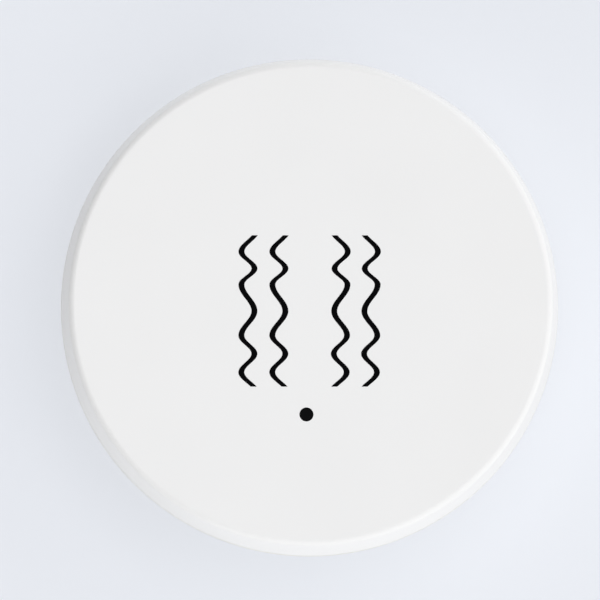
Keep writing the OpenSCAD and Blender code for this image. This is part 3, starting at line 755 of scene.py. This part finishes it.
def turned(centre, profile, steps):
    """A closed solid: (radius, height) pairs turned about an upright axis. A radius of 0 makes a tip."""
    points, rows = [], []
    for r, z in profile:
        if r == 0:
            rows.append([len(points)] * steps)
            points.append((centre[0], centre[1], z))
        else:
            rows.append(list(range(len(points), len(points) + steps)))
            for k in range(steps):
                angle = 2 * math.pi * k / steps
                points.append((centre[0] + r * math.cos(angle), centre[1] + r * math.sin(angle), z))
    # A profile that starts off the axis is a ring, so its last row joins its first.
    next_rows = rows[1:] if profile[0][0] == 0 else rows[1:] + rows[:1]
    faces = []
    for low, high in zip(rows, next_rows):
        for k in range(steps):
            n = (k + 1) % steps
            corners = [low[k], low[n], high[n], high[k]]
            face = [c for i, c in enumerate(corners) if c not in corners[:i]]
            if len(face) > 2:
                faces.append(face)
    return points, faces


cone = turned((0, 0), [(0, 0), (1, 0), (0, 1)], 8)
print("a cone of 8 steps has", len(cone[0]), "points and", len(cone[1]), "faces")

# %% Bars and strips
MITRE_LIMIT = 0.4


def bar_faces(rings, sides):
    """The faces of a closed bar: rings of points that follow each other, with a cap at each end."""
    last = (rings - 1) * sides
    faces = [tuple(reversed(range(sides))), tuple(range(last, last + sides))]
    for first in range(0, last, sides):
        for k in range(sides):
            n = (k + 1) % sides
            faces.append((first + k, first + n, first + sides + n, first + sides + k))
    return faces


def ladder(rungs, low, high):
    """A flat closed strip from pairs of (x, y) points, one pair for each rung, between two heights."""
    points = []
    for a, b in rungs:
        points += [(*a, low), (*b, low), (*b, high), (*a, high)]
    return points, bar_faces(len(rungs), 4)


def strip(line, width, low, high):
    """A flat closed strip along a line of (x, y) points, between two heights, with mitred corners."""
    ways = [(Vector(end) - Vector(start)).normalized() for start, end in zip(line, line[1:])]
    rungs = []
    for (x, y), before, after in zip(line, ways[:1] + ways, ways + ways[-1:]):
        out = Vector((-(before + after).y, (before + after).x)).normalized()
        reach = width / 2 / max(MITRE_LIMIT, out.dot(Vector((-before.y, before.x))))
        rungs.append(((x + out.x * reach, y + out.y * reach), (x - out.x * reach, y - out.y * reach)))
    return ladder(rungs, low, high)


print("a straight strip has", len(strip([(0, 0), (1, 0)], 1, 0, 1)[1]), "faces")

# %% From shapes to a piece


def make_piece(name, shapes, material, body, slot, smooth=False):
    """One object from a list of shapes, facing outward, riding on a body."""
    mesh = bmesh.new()
    for points, faces in shapes:
        corners = [mesh.verts.new(point) for point in points]
        for face in faces:
            mesh.faces.new([corners[i] for i in face])
    bmesh.ops.recalc_face_normals(mesh, faces=mesh.faces)
    data = bpy.data.meshes.new(name)
    mesh.to_mesh(data)
    mesh.free()
    data.materials.append(material)
    for face in data.polygons:
        face.use_smooth = smooth
    piece = bpy.data.objects.new(name, data)
    scene.collection.objects.link(piece)
    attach(piece, body)
    print(name, "has", len(data.polygons), "faces")
    return piece


print("helper made:", make_piece.__name__)

# %% [markdown]
# ## The wavy lines
#
# The sign on the face is pad-printed ink: four wavy lines, two and two, mirrored about the middle.
# A curve with a bevel would give a stroke of even width. These lines are nearly even when measured
# sideways, so they get thinner where they slant, and both ends are cut level. So a line is a curve
# x(y), moved half a width to each side.
#
# Between two turning points the curve is half a cosine wave. The turning points are measured from
# the photograph and given in millimetres from the middle of the face. The outermost waves swing
# further, so that the ends still slant where they are cut.

# %% One wave
TURNS = (6.76, 4.79, 3.24, 1.77, -0.68, -2.93, -4.61, -6.31, -8.19)
SWINGS = (1.35, -1, 1, -1, 1, -1, 1, -1, 1.35)
CUT_TOP = 6.3
CUT_BOTTOM = -7.635
STEPS_PER_TURN = 24


def wave_x(y):
    """How far the line swings to the right at height y, as a share of the full swing."""
    for i, (upper, lower) in enumerate(zip(TURNS, TURNS[1:])):
        if lower <= y <= upper:
            start, end = SWINGS[i], SWINGS[i + 1]
            wave = math.cos(math.pi * (upper - y) / (upper - lower))
            return (start + end) / 2 + (start - end) / 2 * wave
    return 0


def wave_heights():
    """Heights along a line, close together, from one cut to the other."""
    heights = [CUT_TOP]
    for upper, lower in zip(TURNS, TURNS[1:]):
        for k in range(1, STEPS_PER_TURN + 1):
            y = upper + (lower - upper) * k / STEPS_PER_TURN
            if CUT_BOTTOM < y < CUT_TOP:
                heights.append(y)
    return heights + [CUT_BOTTOM]


print("a line is %.2f mm tall and has" % (CUT_TOP - CUT_BOTTOM), len(wave_heights()), "rungs")

# %% Print the lines
SWING = 0.6
LINE_WIDTH = 0.545
SLANT_EXTRA = 0.05
LINE_PLACES = (-5.79, -2.94, 2.76, 5.54)
LINE_LEANS = (0.001, 0.001, 0.009, 0.008)
INK_THICK = 0.012 * MM
INK_SUNK = 0.002 * MM
face_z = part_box("front_shell")[1].z

lines = []
for place_x, lean in zip(LINE_PLACES, LINE_LEANS):
    mirror = 1 if place_x < 0 else -1
    rungs = []
    for y in wave_heights():
        swing = wave_x(y)
        x = place_x + lean * y + mirror * SWING * swing
        half = (LINE_WIDTH + SLANT_EXTRA * (1 - swing ** 2)) / 2
        rungs.append((((x - half) * MM, y * MM), ((x + half) * MM, y * MM)))
    lines.append(ladder(rungs, face_z - INK_SUNK, face_z + INK_THICK))
make_piece("wave_print", lines, black_ink, "head", "light_pipe")

# %% [markdown]
# ## The foam pad
#
# The pad is a disc of closed-cell foam between two sheets of sticky film. A plain cylinder would
# look like a hard plate. On the real pad the die drags the foam, so the edge draws in a little at
# half height, and the cut wanders. The edge gets many rings and a small noise that is the same on
# each run. The pad is thin and glued flat, so it needs no cloth simulation. The films are thin
# discs, a hair smaller than the foam.

# %% The outline of the foam
FILM_THICK = 0.06 * MM
EDGE_RINGS = 9
EDGE_DRAW = 0.22 * MM
pad_low, pad_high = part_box("adhesive_pad")
pad_radius = (pad_high.x - pad_low.x) / 2
foam_low = pad_low.z + FILM_THICK
foam_high = pad_high.z - FILM_THICK


def foam_edge():
    """The foam's half outline: in at the waist, full at both films."""
    outline = [(0, foam_low)]
    for k in range(EDGE_RINGS + 1):
        share = k / EDGE_RINGS
        reach = pad_radius - EDGE_DRAW * math.sin(math.pi * share)
        outline.append((reach, foam_low + (foam_high - foam_low) * share))
    return outline + [(0, foam_high)]


foam_size = ((foam_high - foam_low) / MM, 2 * pad_radius / MM)
print("the foam is %.2f mm thick and %.1f mm across" % foam_size)

# %% Turn the foam
EDGE_WANDER = 0.09 * MM
WANDER_PER_METRE = 900
WANDER_UPWARD = 3
WANDER_INWARD = 0.6
FOAM_STEPS = 160


def wander(x, y, z):
    """How far the cut strays outward. It is mostly below 0, so the foam stays in its place."""
    level = noise.noise(Vector((x, y, z * WANDER_UPWARD)) * WANDER_PER_METRE)
    return EDGE_WANDER * (level - WANDER_INWARD)


points, faces = turned((0, 0), foam_edge(), FOAM_STEPS)
wandered = []
for x, y, z in points:
    out = math.hypot(x, y)
    grow = 1 + wander(x, y, z) / out if out > 0 else 1
    wandered.append((x * grow, y * grow, z))
foam_pad = make_piece("foam_pad", [(wandered, faces)], foam_white, "base", "adhesive_pad", smooth=True)
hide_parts("adhesive_pad")

# %% Films on both faces
FILM_SHORT = 0.05 * MM
film_radius = pad_radius - FILM_SHORT
films = []
for low in (pad_low.z, foam_high):
    high = low + FILM_THICK
    outline = [(0, low), (film_radius, low), (film_radius, high), (0, high)]
    films.append(turned((0, 0), outline, FOAM_STEPS))
make_piece("pad_films", films, sticky_film, "base", "adhesive_pad")

# %% [markdown]
# ## The spring of the switch
#
# The sensing spring is a wire of 0.2 mm wound round a post. A curve with a bevel could make it, but
# a swept mesh gives the same points on every run and an exact end. It follows the CAD coil:
# the same middle line, more rings in each turn, and more sides on the wire.

# %% The middle line of the wire
COIL_TURNS = 9
COIL_WIRE = 0.2 * MM
COIL_RADIUS = 0.9 * MM
coil_low, coil_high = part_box("sense_spring")
tube_low, tube_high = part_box("sense_tube")
coil_middle = (tube_low + tube_high) / 2
coil_start = coil_low.y + COIL_WIRE / 2
coil_rise = (coil_high.y - coil_low.y - COIL_WIRE) / COIL_TURNS


def coil_point(turn):
    """A point on the middle of the wire. The tube lies along Y."""
    angle = 2 * math.pi * turn
    return Vector((coil_middle.x + COIL_RADIUS * math.cos(angle), coil_start + coil_rise * turn,
                   coil_middle.z - COIL_RADIUS * math.sin(angle)))


def coil_way(turn):
    """The direction of the wire at that point."""
    angle = 2 * math.pi * turn
    slope = coil_rise / (2 * math.pi * COIL_RADIUS)
    return Vector((-math.sin(angle), slope, -math.cos(angle))).normalized()


print("each of %d turns rises %.2f mm" % (COIL_TURNS, coil_rise / MM))

# %% Wind the coil
RINGS_PER_TURN = 32
WIRE_SIDES = 12
TUBE_WAY = Vector((0, 1, 0))


def wire_mesh(line, ways, radius):
    """A closed round wire along a line, with its direction known at each point."""
    points = []
    for spot, way in zip(line, ways):
        across = way.cross(TUBE_WAY).normalized()
        up = across.cross(way)
        for k in range(WIRE_SIDES):
            angle = 2 * math.pi * k / WIRE_SIDES
            points.append(tuple(spot + radius * (across * math.cos(angle) + up * math.sin(angle))))
    return points, bar_faces(len(line), WIRE_SIDES)


coil_turns = [k / RINGS_PER_TURN for k in range(COIL_TURNS * RINGS_PER_TURN + 1)]
coil_line = [coil_point(turn) for turn in coil_turns]
coil_ways = [coil_way(turn) for turn in coil_turns]
coil_line.insert(0, coil_line[0] - coil_ways[0] * COIL_WIRE)
coil_line.append(coil_line[-1] + coil_ways[-1] * COIL_WIRE)
coil_ways = [coil_ways[0]] + coil_ways + [coil_ways[-1]]
coil_shape = wire_mesh(coil_line, coil_ways, COIL_WIRE / 2)
coil = make_piece("coil_wire", [coil_shape], spring_gold, "sense coil", "sense_spring", smooth=True)
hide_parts("sense_spring")

# %% [markdown]
# ## The snap dome
#
# Under the plunger of the pairing switch lies a thin steel dome that flattens when it is pressed. A
# stiff piece that rode on the plunger would cut into the switch's floor. So a finely turned dome
# stands for the CAD one, and it gets a mesh of its own.

# %% Turn the dome
DOME_THICK = 0.08 * MM
DOME_RINGS = 14
DOME_STEPS = 48
dome_low, dome_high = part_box("switch_dome")
dome_centre = ((dome_low.x + dome_high.x) / 2, (dome_low.y + dome_high.y) / 2)
dome_foot = (dome_high.x - dome_low.x) / 2 - DOME_THICK
dome_rise = dome_high.z - dome_low.z - DOME_THICK
ball = (dome_foot ** 2 + dome_rise ** 2) / (2 * dome_rise)
half_angle = math.asin(dome_foot / ball)
ball_z = dome_high.z - dome_rise + ball


def dome_arc(radius):
    """Half the outline of the dome at that radius of its ball, from the top out to the foot."""
    angles = [half_angle * k / DOME_RINGS for k in range(DOME_RINGS + 1)]
    return [(radius * math.sin(a), ball_z - radius * math.cos(a)) for a in angles]


dome_outline = dome_arc(ball + DOME_THICK) + dome_arc(ball)[::-1]
dome_shape = turned(dome_centre, dome_outline, DOME_STEPS)
dome = make_piece("snap_dome", [dome_shape], tin, "head", "switch_dome", smooth=True)
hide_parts("switch_dome")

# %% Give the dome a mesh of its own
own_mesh(dome)

# %% [markdown]
# ## The copper tracks
#
# A bare green disc looks like a toy. A real board shows its tracks as lighter lines under the green
# mask. They could be a texture, but as thin strips they have real edges that catch light, and they
# keep their place from any side. Each track runs from a joint to another joint, or to a via, so the
# tables below list its corners in millimetres. On the left and the right of the radio, the tracks
# start at its solder pads.

# %% Lay a table of tracks
COPPER = 0.035 * MM
FRONT_TRACK = 0.25 * MM
REAR_TRACK = 0.35 * MM
LANE_OUT = 0.37
board_low, board_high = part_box("main_board")
front_z = board_high.z
rear_z = board_low.z
tab_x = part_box("plus_contact")[1].x / MM
lane_x = tab_x + LANE_OUT


def lay_tracks(name, routes, width, low, high):
    """Strips of copper under the mask, one for each line of (x, y) millimetres."""
    strips = [strip([(x * MM, y * MM) for x, y in route], width, low, high) for route in routes]
    make_piece(name, strips, track_green, "head", "main_board")


print("board faces at z = %.2f and %.2f mm" % (rear_z / MM, front_z / MM))

# %% Tracks on the front
RADIO_LEFT = (
    ((-6.3, 2.87), (-7.6, 2.87), (-9.2, 1.27), (-10.4, 1.27)),
    ((-6.3, 4.14), (-6.8, 4.14), (-7.65, 4.99), (-8.2, 4.99)),
    ((-6.3, 5.41), (-7.2, 5.41)),
    ((-6.3, 6.68), (-7.0, 6.68), (-7.3, 6.98), (-8.2, 6.98)),
    ((-6.3, 7.95), (-8.2, 7.95)),
    ((-6.3, 9.22), (-7.2, 9.22)),
    ((-6.3, 10.49), (-7.0, 10.49), (-7.5, 9.99), (-8.2, 9.99)),
    ((-6.3, 11.76), (-7.0, 11.76), (-8.0, 12.76)),
)
RADIO_RIGHT = (
    ((6.3, 2.87), (7.2, 2.87), (7.36, 3.03), (8.2, 3.03)),
    ((6.3, 4.14), (7.2, 4.14)),
    ((6.3, 5.41), (7.2, 5.41), (7.64, 4.97), (8.2, 4.97)),
    ((6.3, 6.68), (10.6, 6.68), (12.0, 5.28)),
    ((6.3, 7.95), (7.3, 7.95)),
    ((6.3, 9.22), (6.9, 9.22)),
    ((6.3, 10.49), (7.2, 10.49), (8.4, 9.29)),
    ((6.3, 11.76), (7.4, 11.76)),
)
CHIP_LINKS = (
    ((-2.05, -2.0), (2.05, -2.0)),
    ((-3.95, -2.0), (-5.4, -2.0)),
    ((3.95, -2.0), (5.07, -2.0), (lane_x, -3.0)),
    ((-3.05, -6.0), (3.05, -6.0)),
    ((-4.95, -6.0), (-6.4, -6.0)),
    ((4.95, -6.0), (7.2, -6.0), (8.3, -4.9)),
    ((11.55, -3.0), (10.3, -3.0), (9.2, -4.1)),
    ((11.55, -5.5), (10.2, -5.5)),
    ((13.45, -3.0), (14.6, -3.0), (14.6, -5.5), (13.45, -5.5)),
    ((0.55, -10.2), (3.4, -10.2), (4.17, -10.97), (4.7, -10.97)),
    ((4.7, -9.03), (3.6, -9.03), (2.8, -8.23)),
    ((-1.35, -10.2), (-2.4, -10.2), (-3.4, -11.2)),
)
FRONT_ROUTES = RADIO_LEFT + RADIO_RIGHT + CHIP_LINKS
lay_tracks("front_tracks", FRONT_ROUTES, FRONT_TRACK, front_z, front_z + COPPER)

# %% Tracks on the rear
REAR_ROUTES = (
    ((tab_x, 1.2), (lane_x, 1.57), (lane_x, 8.4), (6.9, 9.22)),
    ((tab_x, -1.2), (lane_x, -1.57), (lane_x, -7.2), (7.6, -8.7)),
    ((14.74, -8.5), (14.74, 3.0), (16.0, 4.26), (16.0, 7.5)),
    ((14.9, -11.5), (16.0, -10.4), (16.0, -7.2)),
    ((7.6, -11.6), (5.7, -13.5), (2.5, -13.5), (0.6, -15.4), (-6.0, -15.4)),
    ((12.0, 10.4), (12.0, 5.28)),
    ((13.8, 10.2), (14.5, 9.5), (14.5, 5.0)),
    ((7.4, 11.76), (8.4, 12.76), (8.4, 15.6)),
    ((5.0, 10.4), (7.4, 12.8), (7.4, 14.8)),
)
lay_tracks("rear_tracks", REAR_ROUTES, REAR_TRACK, rear_z - COPPER, rear_z)

# %% [markdown]
# ## Vias and test points
#
# A via is a plated hole that takes a track to the other face, so it shows as a small gold ring on
# both faces unless a part covers one of them. A test point is a bare gold disc for a needle. A
# texture of dots would have no rim. Each is a turned ring or disc instead, a little prouder than
# the tracks that end in it.

# %% Rings and discs of gold
VIA_OUT = 0.32 * MM
VIA_IN = 0.15 * MM
VIA_THICK = COPPER * 1.6
VIA_STEPS = 20
TEST_RADIUS = 0.5 * MM
TEST_STEPS = 24
BOTH_VIAS = (
    (6.9, 9.22), (7.3, 7.95), (7.4, 11.76), (8.4, 15.6), (7.4, 14.8), (-8.0, 12.76), (12.0, 5.28),
    (lane_x, -3.0), (10.2, -5.5), (2.8, -8.23), (-3.4, -11.2), (16.0, 7.5), (-6.0, -15.4), (16.0, -7.2),
    (14.5, 5.0),
)
FRONT_VIAS = ((-7.2, 9.22), (-7.2, 5.41), (7.2, 4.14), (-5.4, -2.0), (-6.4, -6.0))
REAR_VIAS = ((5.0, 10.4),)
TEST_POINTS = ((13.8, 10.2), (12.0, 10.4), (10.2, 10.6), (-2.6, -18.2), (-4.6, -17.9))


def via(spot, low, high):
    """A small gold ring round a plated hole."""
    ring = [(VIA_IN, low), (VIA_OUT, low), (VIA_OUT, high), (VIA_IN, high)]
    return turned((spot[0] * MM, spot[1] * MM), ring, VIA_STEPS)


def test_point(spot, low, high):
    """A flat gold disc for a test needle."""
    disc = [(0, low), (TEST_RADIUS, low), (TEST_RADIUS, high), (0, high)]
    return turned((spot[0] * MM, spot[1] * MM), disc, TEST_STEPS)


front_rings = [via(spot, front_z, front_z + VIA_THICK) for spot in BOTH_VIAS + FRONT_VIAS]
rear_rings = [via(spot, rear_z - VIA_THICK, rear_z) for spot in BOTH_VIAS + REAR_VIAS]
rear_discs = [test_point(spot, rear_z - VIA_THICK, rear_z) for spot in TEST_POINTS]
make_piece("front_vias", front_rings, gold, "head", "plus_contact")
make_piece("rear_vias", rear_rings + rear_discs, gold, "head", "plus_contact")

# %% [markdown]
# ## Solder at the wires
#
# The two wires of the sensing switch come through the board, and molten solder climbs them in a
# cone with concave sides. A straight cone would look like a cap. So a short concave outline is
# turned about each wire, and the place and the thickness of the wire are read from the points of
# its node above the board.

# %% Cones round the wires
LAND_RADIUS = 0.95 * MM
STUB_ABOVE = 0.2 * MM
CONE_STEPS = 28
# Each pair is a share of the way from the wire to the land's edge, and a height in millimetres.
CONE_CLIMB = ((1.0, 0.0), (0.72, 0.1), (0.52, 0.26), (0.4, 0.48), (0.33, 0.7))


def wire_foot(name):
    """Where a wire comes through the board, and its radius there."""
    stub = [v.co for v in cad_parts[name].data.vertices if v.co.z > front_z + STUB_ABOVE]
    xs = [p.x for p in stub]
    ys = [p.y for p in stub]
    return ((min(xs) + max(xs)) / 2, (min(ys) + max(ys)) / 2), (max(xs) - min(xs)) / 2


def solder_cone(centre, wire_radius):
    """A concave cone of solder that climbs a wire from a round land."""
    land = LAND_RADIUS - wire_radius
    outer = [(wire_radius + land * share, front_z + height * MM) for share, height in CONE_CLIMB]
    return turned(centre, [(0, front_z)] + outer + [(0, outer[-1][1])], CONE_STEPS)


cones = [solder_cone(*wire_foot(name)) for name in ("sense_pin", "sense_lead")]
make_piece("wire_solder", cones, solder, "head", "sense_lead", smooth=True)

# %% [markdown]
# ## Solder at the chips
#
# A chip is held by two fillets of solder, one at each end, that climb its metal caps. With a flat
# pad alone it would look as if it had only been laid down. A fillet is a short bar whose top falls in
# a concave curve. The chips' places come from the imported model, so each fillet sits on its own chip.

# %% Fillets at both ends
FILLET_REACH = 0.34 * MM
FILLET_WIDER = 0.06 * MM
FILLET_EDGE = 0.03 * MM
FILLET_TALLEST = 0.45 * MM
FILLET_SHARE = 0.6
# Each pair is a share of the reach and a share of the climb.
FILLET_CURVE = ((0.0, 1.0), (0.2, 0.55), (0.5, 0.24))
FRONT_CHIPS = CHIPS + ("buffer_capacitor", "status_led")


def fillet(low, high, side):
    """Solder at one end of a chip: tall at the chip and thin at the far edge of its land."""
    along = long_axis(low, high)
    across = 1 - along
    end = high[along] if side > 0 else low[along]
    left, right = low[across] - FILLET_WIDER, high[across] + FILLET_WIDER
    climb = min(FILLET_TALLEST, (high.z - low.z) * FILLET_SHARE)
    steps = [(reach, climb * share) for reach, share in FILLET_CURVE] + [(1.0, FILLET_EDGE)]
    points = []
    for reach, height in steps:
        for edge, z in ((left, 0), (right, 0), (right, height), (left, height)):
            point = [0.0, 0.0, front_z + z]
            point[along] = end + side * reach * FILLET_REACH
            point[across] = edge
            points.append(tuple(point))
    return points, bar_faces(len(steps), 4)


chip_boxes = [box for name in FRONT_CHIPS for box in islands(name)]
fillets = [fillet(low, high, side) for low, high in chip_boxes for side in (-1, 1)]
make_piece("chip_solder", fillets, solder, "head", "module_shield")

# %% [markdown]
# ## White outlines round the parts
#
# White ink on a board marks where each part goes: two lines beside a chip, and a frame round a
# larger part. A picture of lines could be laid over the board. As thin strips they are placed by
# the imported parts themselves, so no line lies off its part.

# %% Print the outlines
OUTLINE_GAP = 0.55 * MM
REAR_GAP = OUTLINE_GAP / 2
OUTLINE_WIDTH = 0.15 * MM
OUTLINE_INK = 0.02 * MM
outlines = []
for low, high in chip_boxes:
    left, right = low.x - OUTLINE_GAP, high.x + OUTLINE_GAP
    for y in (low.y - OUTLINE_GAP, high.y + OUTLINE_GAP):
        outlines.append(strip([(left, y), (right, y)], OUTLINE_WIDTH, front_z, front_z + OUTLINE_INK))
for name in ("sense_tube", "switch_case"):
    low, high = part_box(name)
    left, right = low.x - REAR_GAP, high.x + REAR_GAP
    near, far = low.y - REAR_GAP, high.y + REAR_GAP
    corners = [(left, near), (right, near), (right, far), (left, far), (left, near)]
    for start, end in zip(corners, corners[1:]):
        outlines.append(strip([start, end], OUTLINE_WIDTH, rear_z - OUTLINE_INK, rear_z))
make_piece("part_outlines", outlines, white_ink, "head", "front_shell")

# %% [markdown]
# ## Solder beads
#
# The half-holes along the radio board and the legs of the pairing switch each end in a small bead
# of solder. A ball would stand off the board, but solder wets it and spreads. So each bead is a
# turned outline that is wide at its foot, one for the half-holes and a flatter one for the legs.

# %% Beads at the half-holes and the legs
PAD_PITCH = 1.27 * MM
PAD_COUNT = 8
PAD_BEAD_OUT = 0.08 * MM
PAD_BEAD_STEPS = 18
LEG_BEAD_IN = 0.25 * MM
LEG_BEAD_STEPS = 24
# Radius and height of each outline, in millimetres.
PAD_BEAD = ((0, 0), (0.36, 0), (0.27, 0.16), (0.2, 0.42), (0, 0.5))
LEG_BEAD = ((0, 0), (0.62, 0), (0.5, 0.1), (0.3, 0.24), (0, 0.3))


def bead(spot, outline, base_z, up, steps):
    """A bead of solder on one face of the board. up is 1 on the front and -1 on the rear."""
    return turned(spot, [(radius * MM, base_z + up * height * MM) for radius, height in outline], steps)


beads = []
for side, edge_x in ((-1, radio_low.x), (1, radio_high.x)):
    for k in range(PAD_COUNT):
        spot = (edge_x + side * PAD_BEAD_OUT, radio_low.y + (k + 1) * PAD_PITCH)
        beads.append(bead(spot, PAD_BEAD, front_z, 1, PAD_BEAD_STEPS))
legs_low, legs_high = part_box("switch_terminals")
for low, high in islands("switch_terminals"):
    side = 1 if low.x + high.x > legs_low.x + legs_high.x else -1
    toe = high.x if side > 0 else low.x
    spot = (toe - side * LEG_BEAD_IN, (low.y + high.y) / 2)
    beads.append(bead(spot, LEG_BEAD, rear_z, -1, LEG_BEAD_STEPS))
make_piece("leg_solder", beads, solder, "head", "switch_terminals", smooth=True)

# %% [markdown]
# ## The antenna
#
# The free end of the radio board carries its antenna, a copper line folded back and forth. Straight
# bars could be set side by side, but their corners would gape or overlap. A single strip along a
# zigzag of right angles has clean mitred corners.

# %% Fold the antenna
ANTENNA_FOLDS = 6
ANTENNA_WIDTH = 0.4 * MM
FROM_SHIELD = 0.9 * MM
FROM_END = 0.5 * MM
FROM_SIDES = 1 * MM
shield_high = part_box("module_shield")[1]
fold_low = shield_high.y + FROM_SHIELD
fold_high = radio_high.y - FROM_END
fold_step = (radio_high.x - radio_low.x - 2 * FROM_SIDES) / ANTENNA_FOLDS
antenna_line = []
for k in range(ANTENNA_FOLDS + 1):
    x = radio_low.x + FROM_SIDES + k * fold_step
    ends = [fold_low, fold_high] if k % 2 == 0 else [fold_high, fold_low]
    antenna_line += [(x, y) for y in ends]
antenna_shape = strip(antenna_line, ANTENNA_WIDTH, radio_high.z, radio_high.z + COPPER)
make_piece("antenna", [antenna_shape], gold, "head", "plus_contact")

# %% [markdown]
# ## The cell's plus sign
#
# Every coin cell has a plus sign stamped on its can, and this one carries nothing else. Two crossed
# bars would overlap in the middle. So the sign is one outline of twelve corners, three of one arm
# turned to four sides, and raised as one solid that sinks a little into the can.

# %% Raise the plus sign
PLUS_ARM = 1.7 * MM
PLUS_WIDTH = 0.55 * MM
PLUS_RAISE = 0.05 * MM
PLUS_SUNK = 0.01 * MM
PLUS_FROM_EDGE = 4.2 * MM
QUARTERS = 4
plus_at = (cell_middle.x, cell_low.y + PLUS_FROM_EDGE)
half_width = PLUS_WIDTH / 2
plus_outline = []
for quarter in range(QUARTERS):
    c = math.cos(quarter * math.pi / 2)
    s = math.sin(quarter * math.pi / 2)
    for x, y in ((half_width, half_width), (PLUS_ARM, half_width), (PLUS_ARM, -half_width)):
        plus_outline.append((plus_at[0] + x * c + y * s, plus_at[1] + x * s - y * c))
plus_heights = (cell_low.z - PLUS_RAISE, cell_low.z + PLUS_SUNK)
plus_points = [(*corner, z) for z in plus_heights for corner in plus_outline]
plus_shape = (plus_points, bar_faces(len(plus_heights), len(plus_outline)))
make_piece("cell_plus", [plus_shape], stamped, "head", "coin_cell_can")

# %% [markdown]
# ## Mould marks in the base
#
# A moulding shows where the pins of the mould pushed it out: flat discs, a few hundredths of a
# millimetre proud and a little smoother than the rest. A bump could fake them, but not their edge.
# Six turned discs lie on the base's floor, between its ribs. A ray cast straight down finds the
# floor's height, so the marks sit on the real surface.

# %% Press the marks
MARK_RING = 15.5 * MM
MARK_RADIUS = 1.5 * MM
MARK_RAISE = 0.03 * MM
MARK_ANGLES = range(30, 360, 60)
MARK_STEPS = 40
# A ray starts a metre up. Its answer is a list, and the point that it meets is number 1 in it.
RAY_START = 1.0
RAY_WAY = (0, 0, -1)
RAY_POINT = 1
base_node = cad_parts["base_cover"]
marks = []
for degrees in MARK_ANGLES:
    x = MARK_RING * math.cos(math.radians(degrees))
    y = MARK_RING * math.sin(math.radians(degrees))
    spot = base_node.ray_cast((x, y, RAY_START), RAY_WAY)[RAY_POINT]
    low, high = spot.z - MARK_RAISE, spot.z + MARK_RAISE
    soft_edge = [(MARK_RADIUS, high - MARK_RAISE / 2), (MARK_RADIUS - MARK_RAISE / 2, high)]
    marks.append(turned((x, y), [(0, low), (MARK_RADIUS, low)] + soft_edge + [(0, high)], MARK_STEPS))
make_piece("mould_marks", marks, smooth_white, "base", "base_cover")
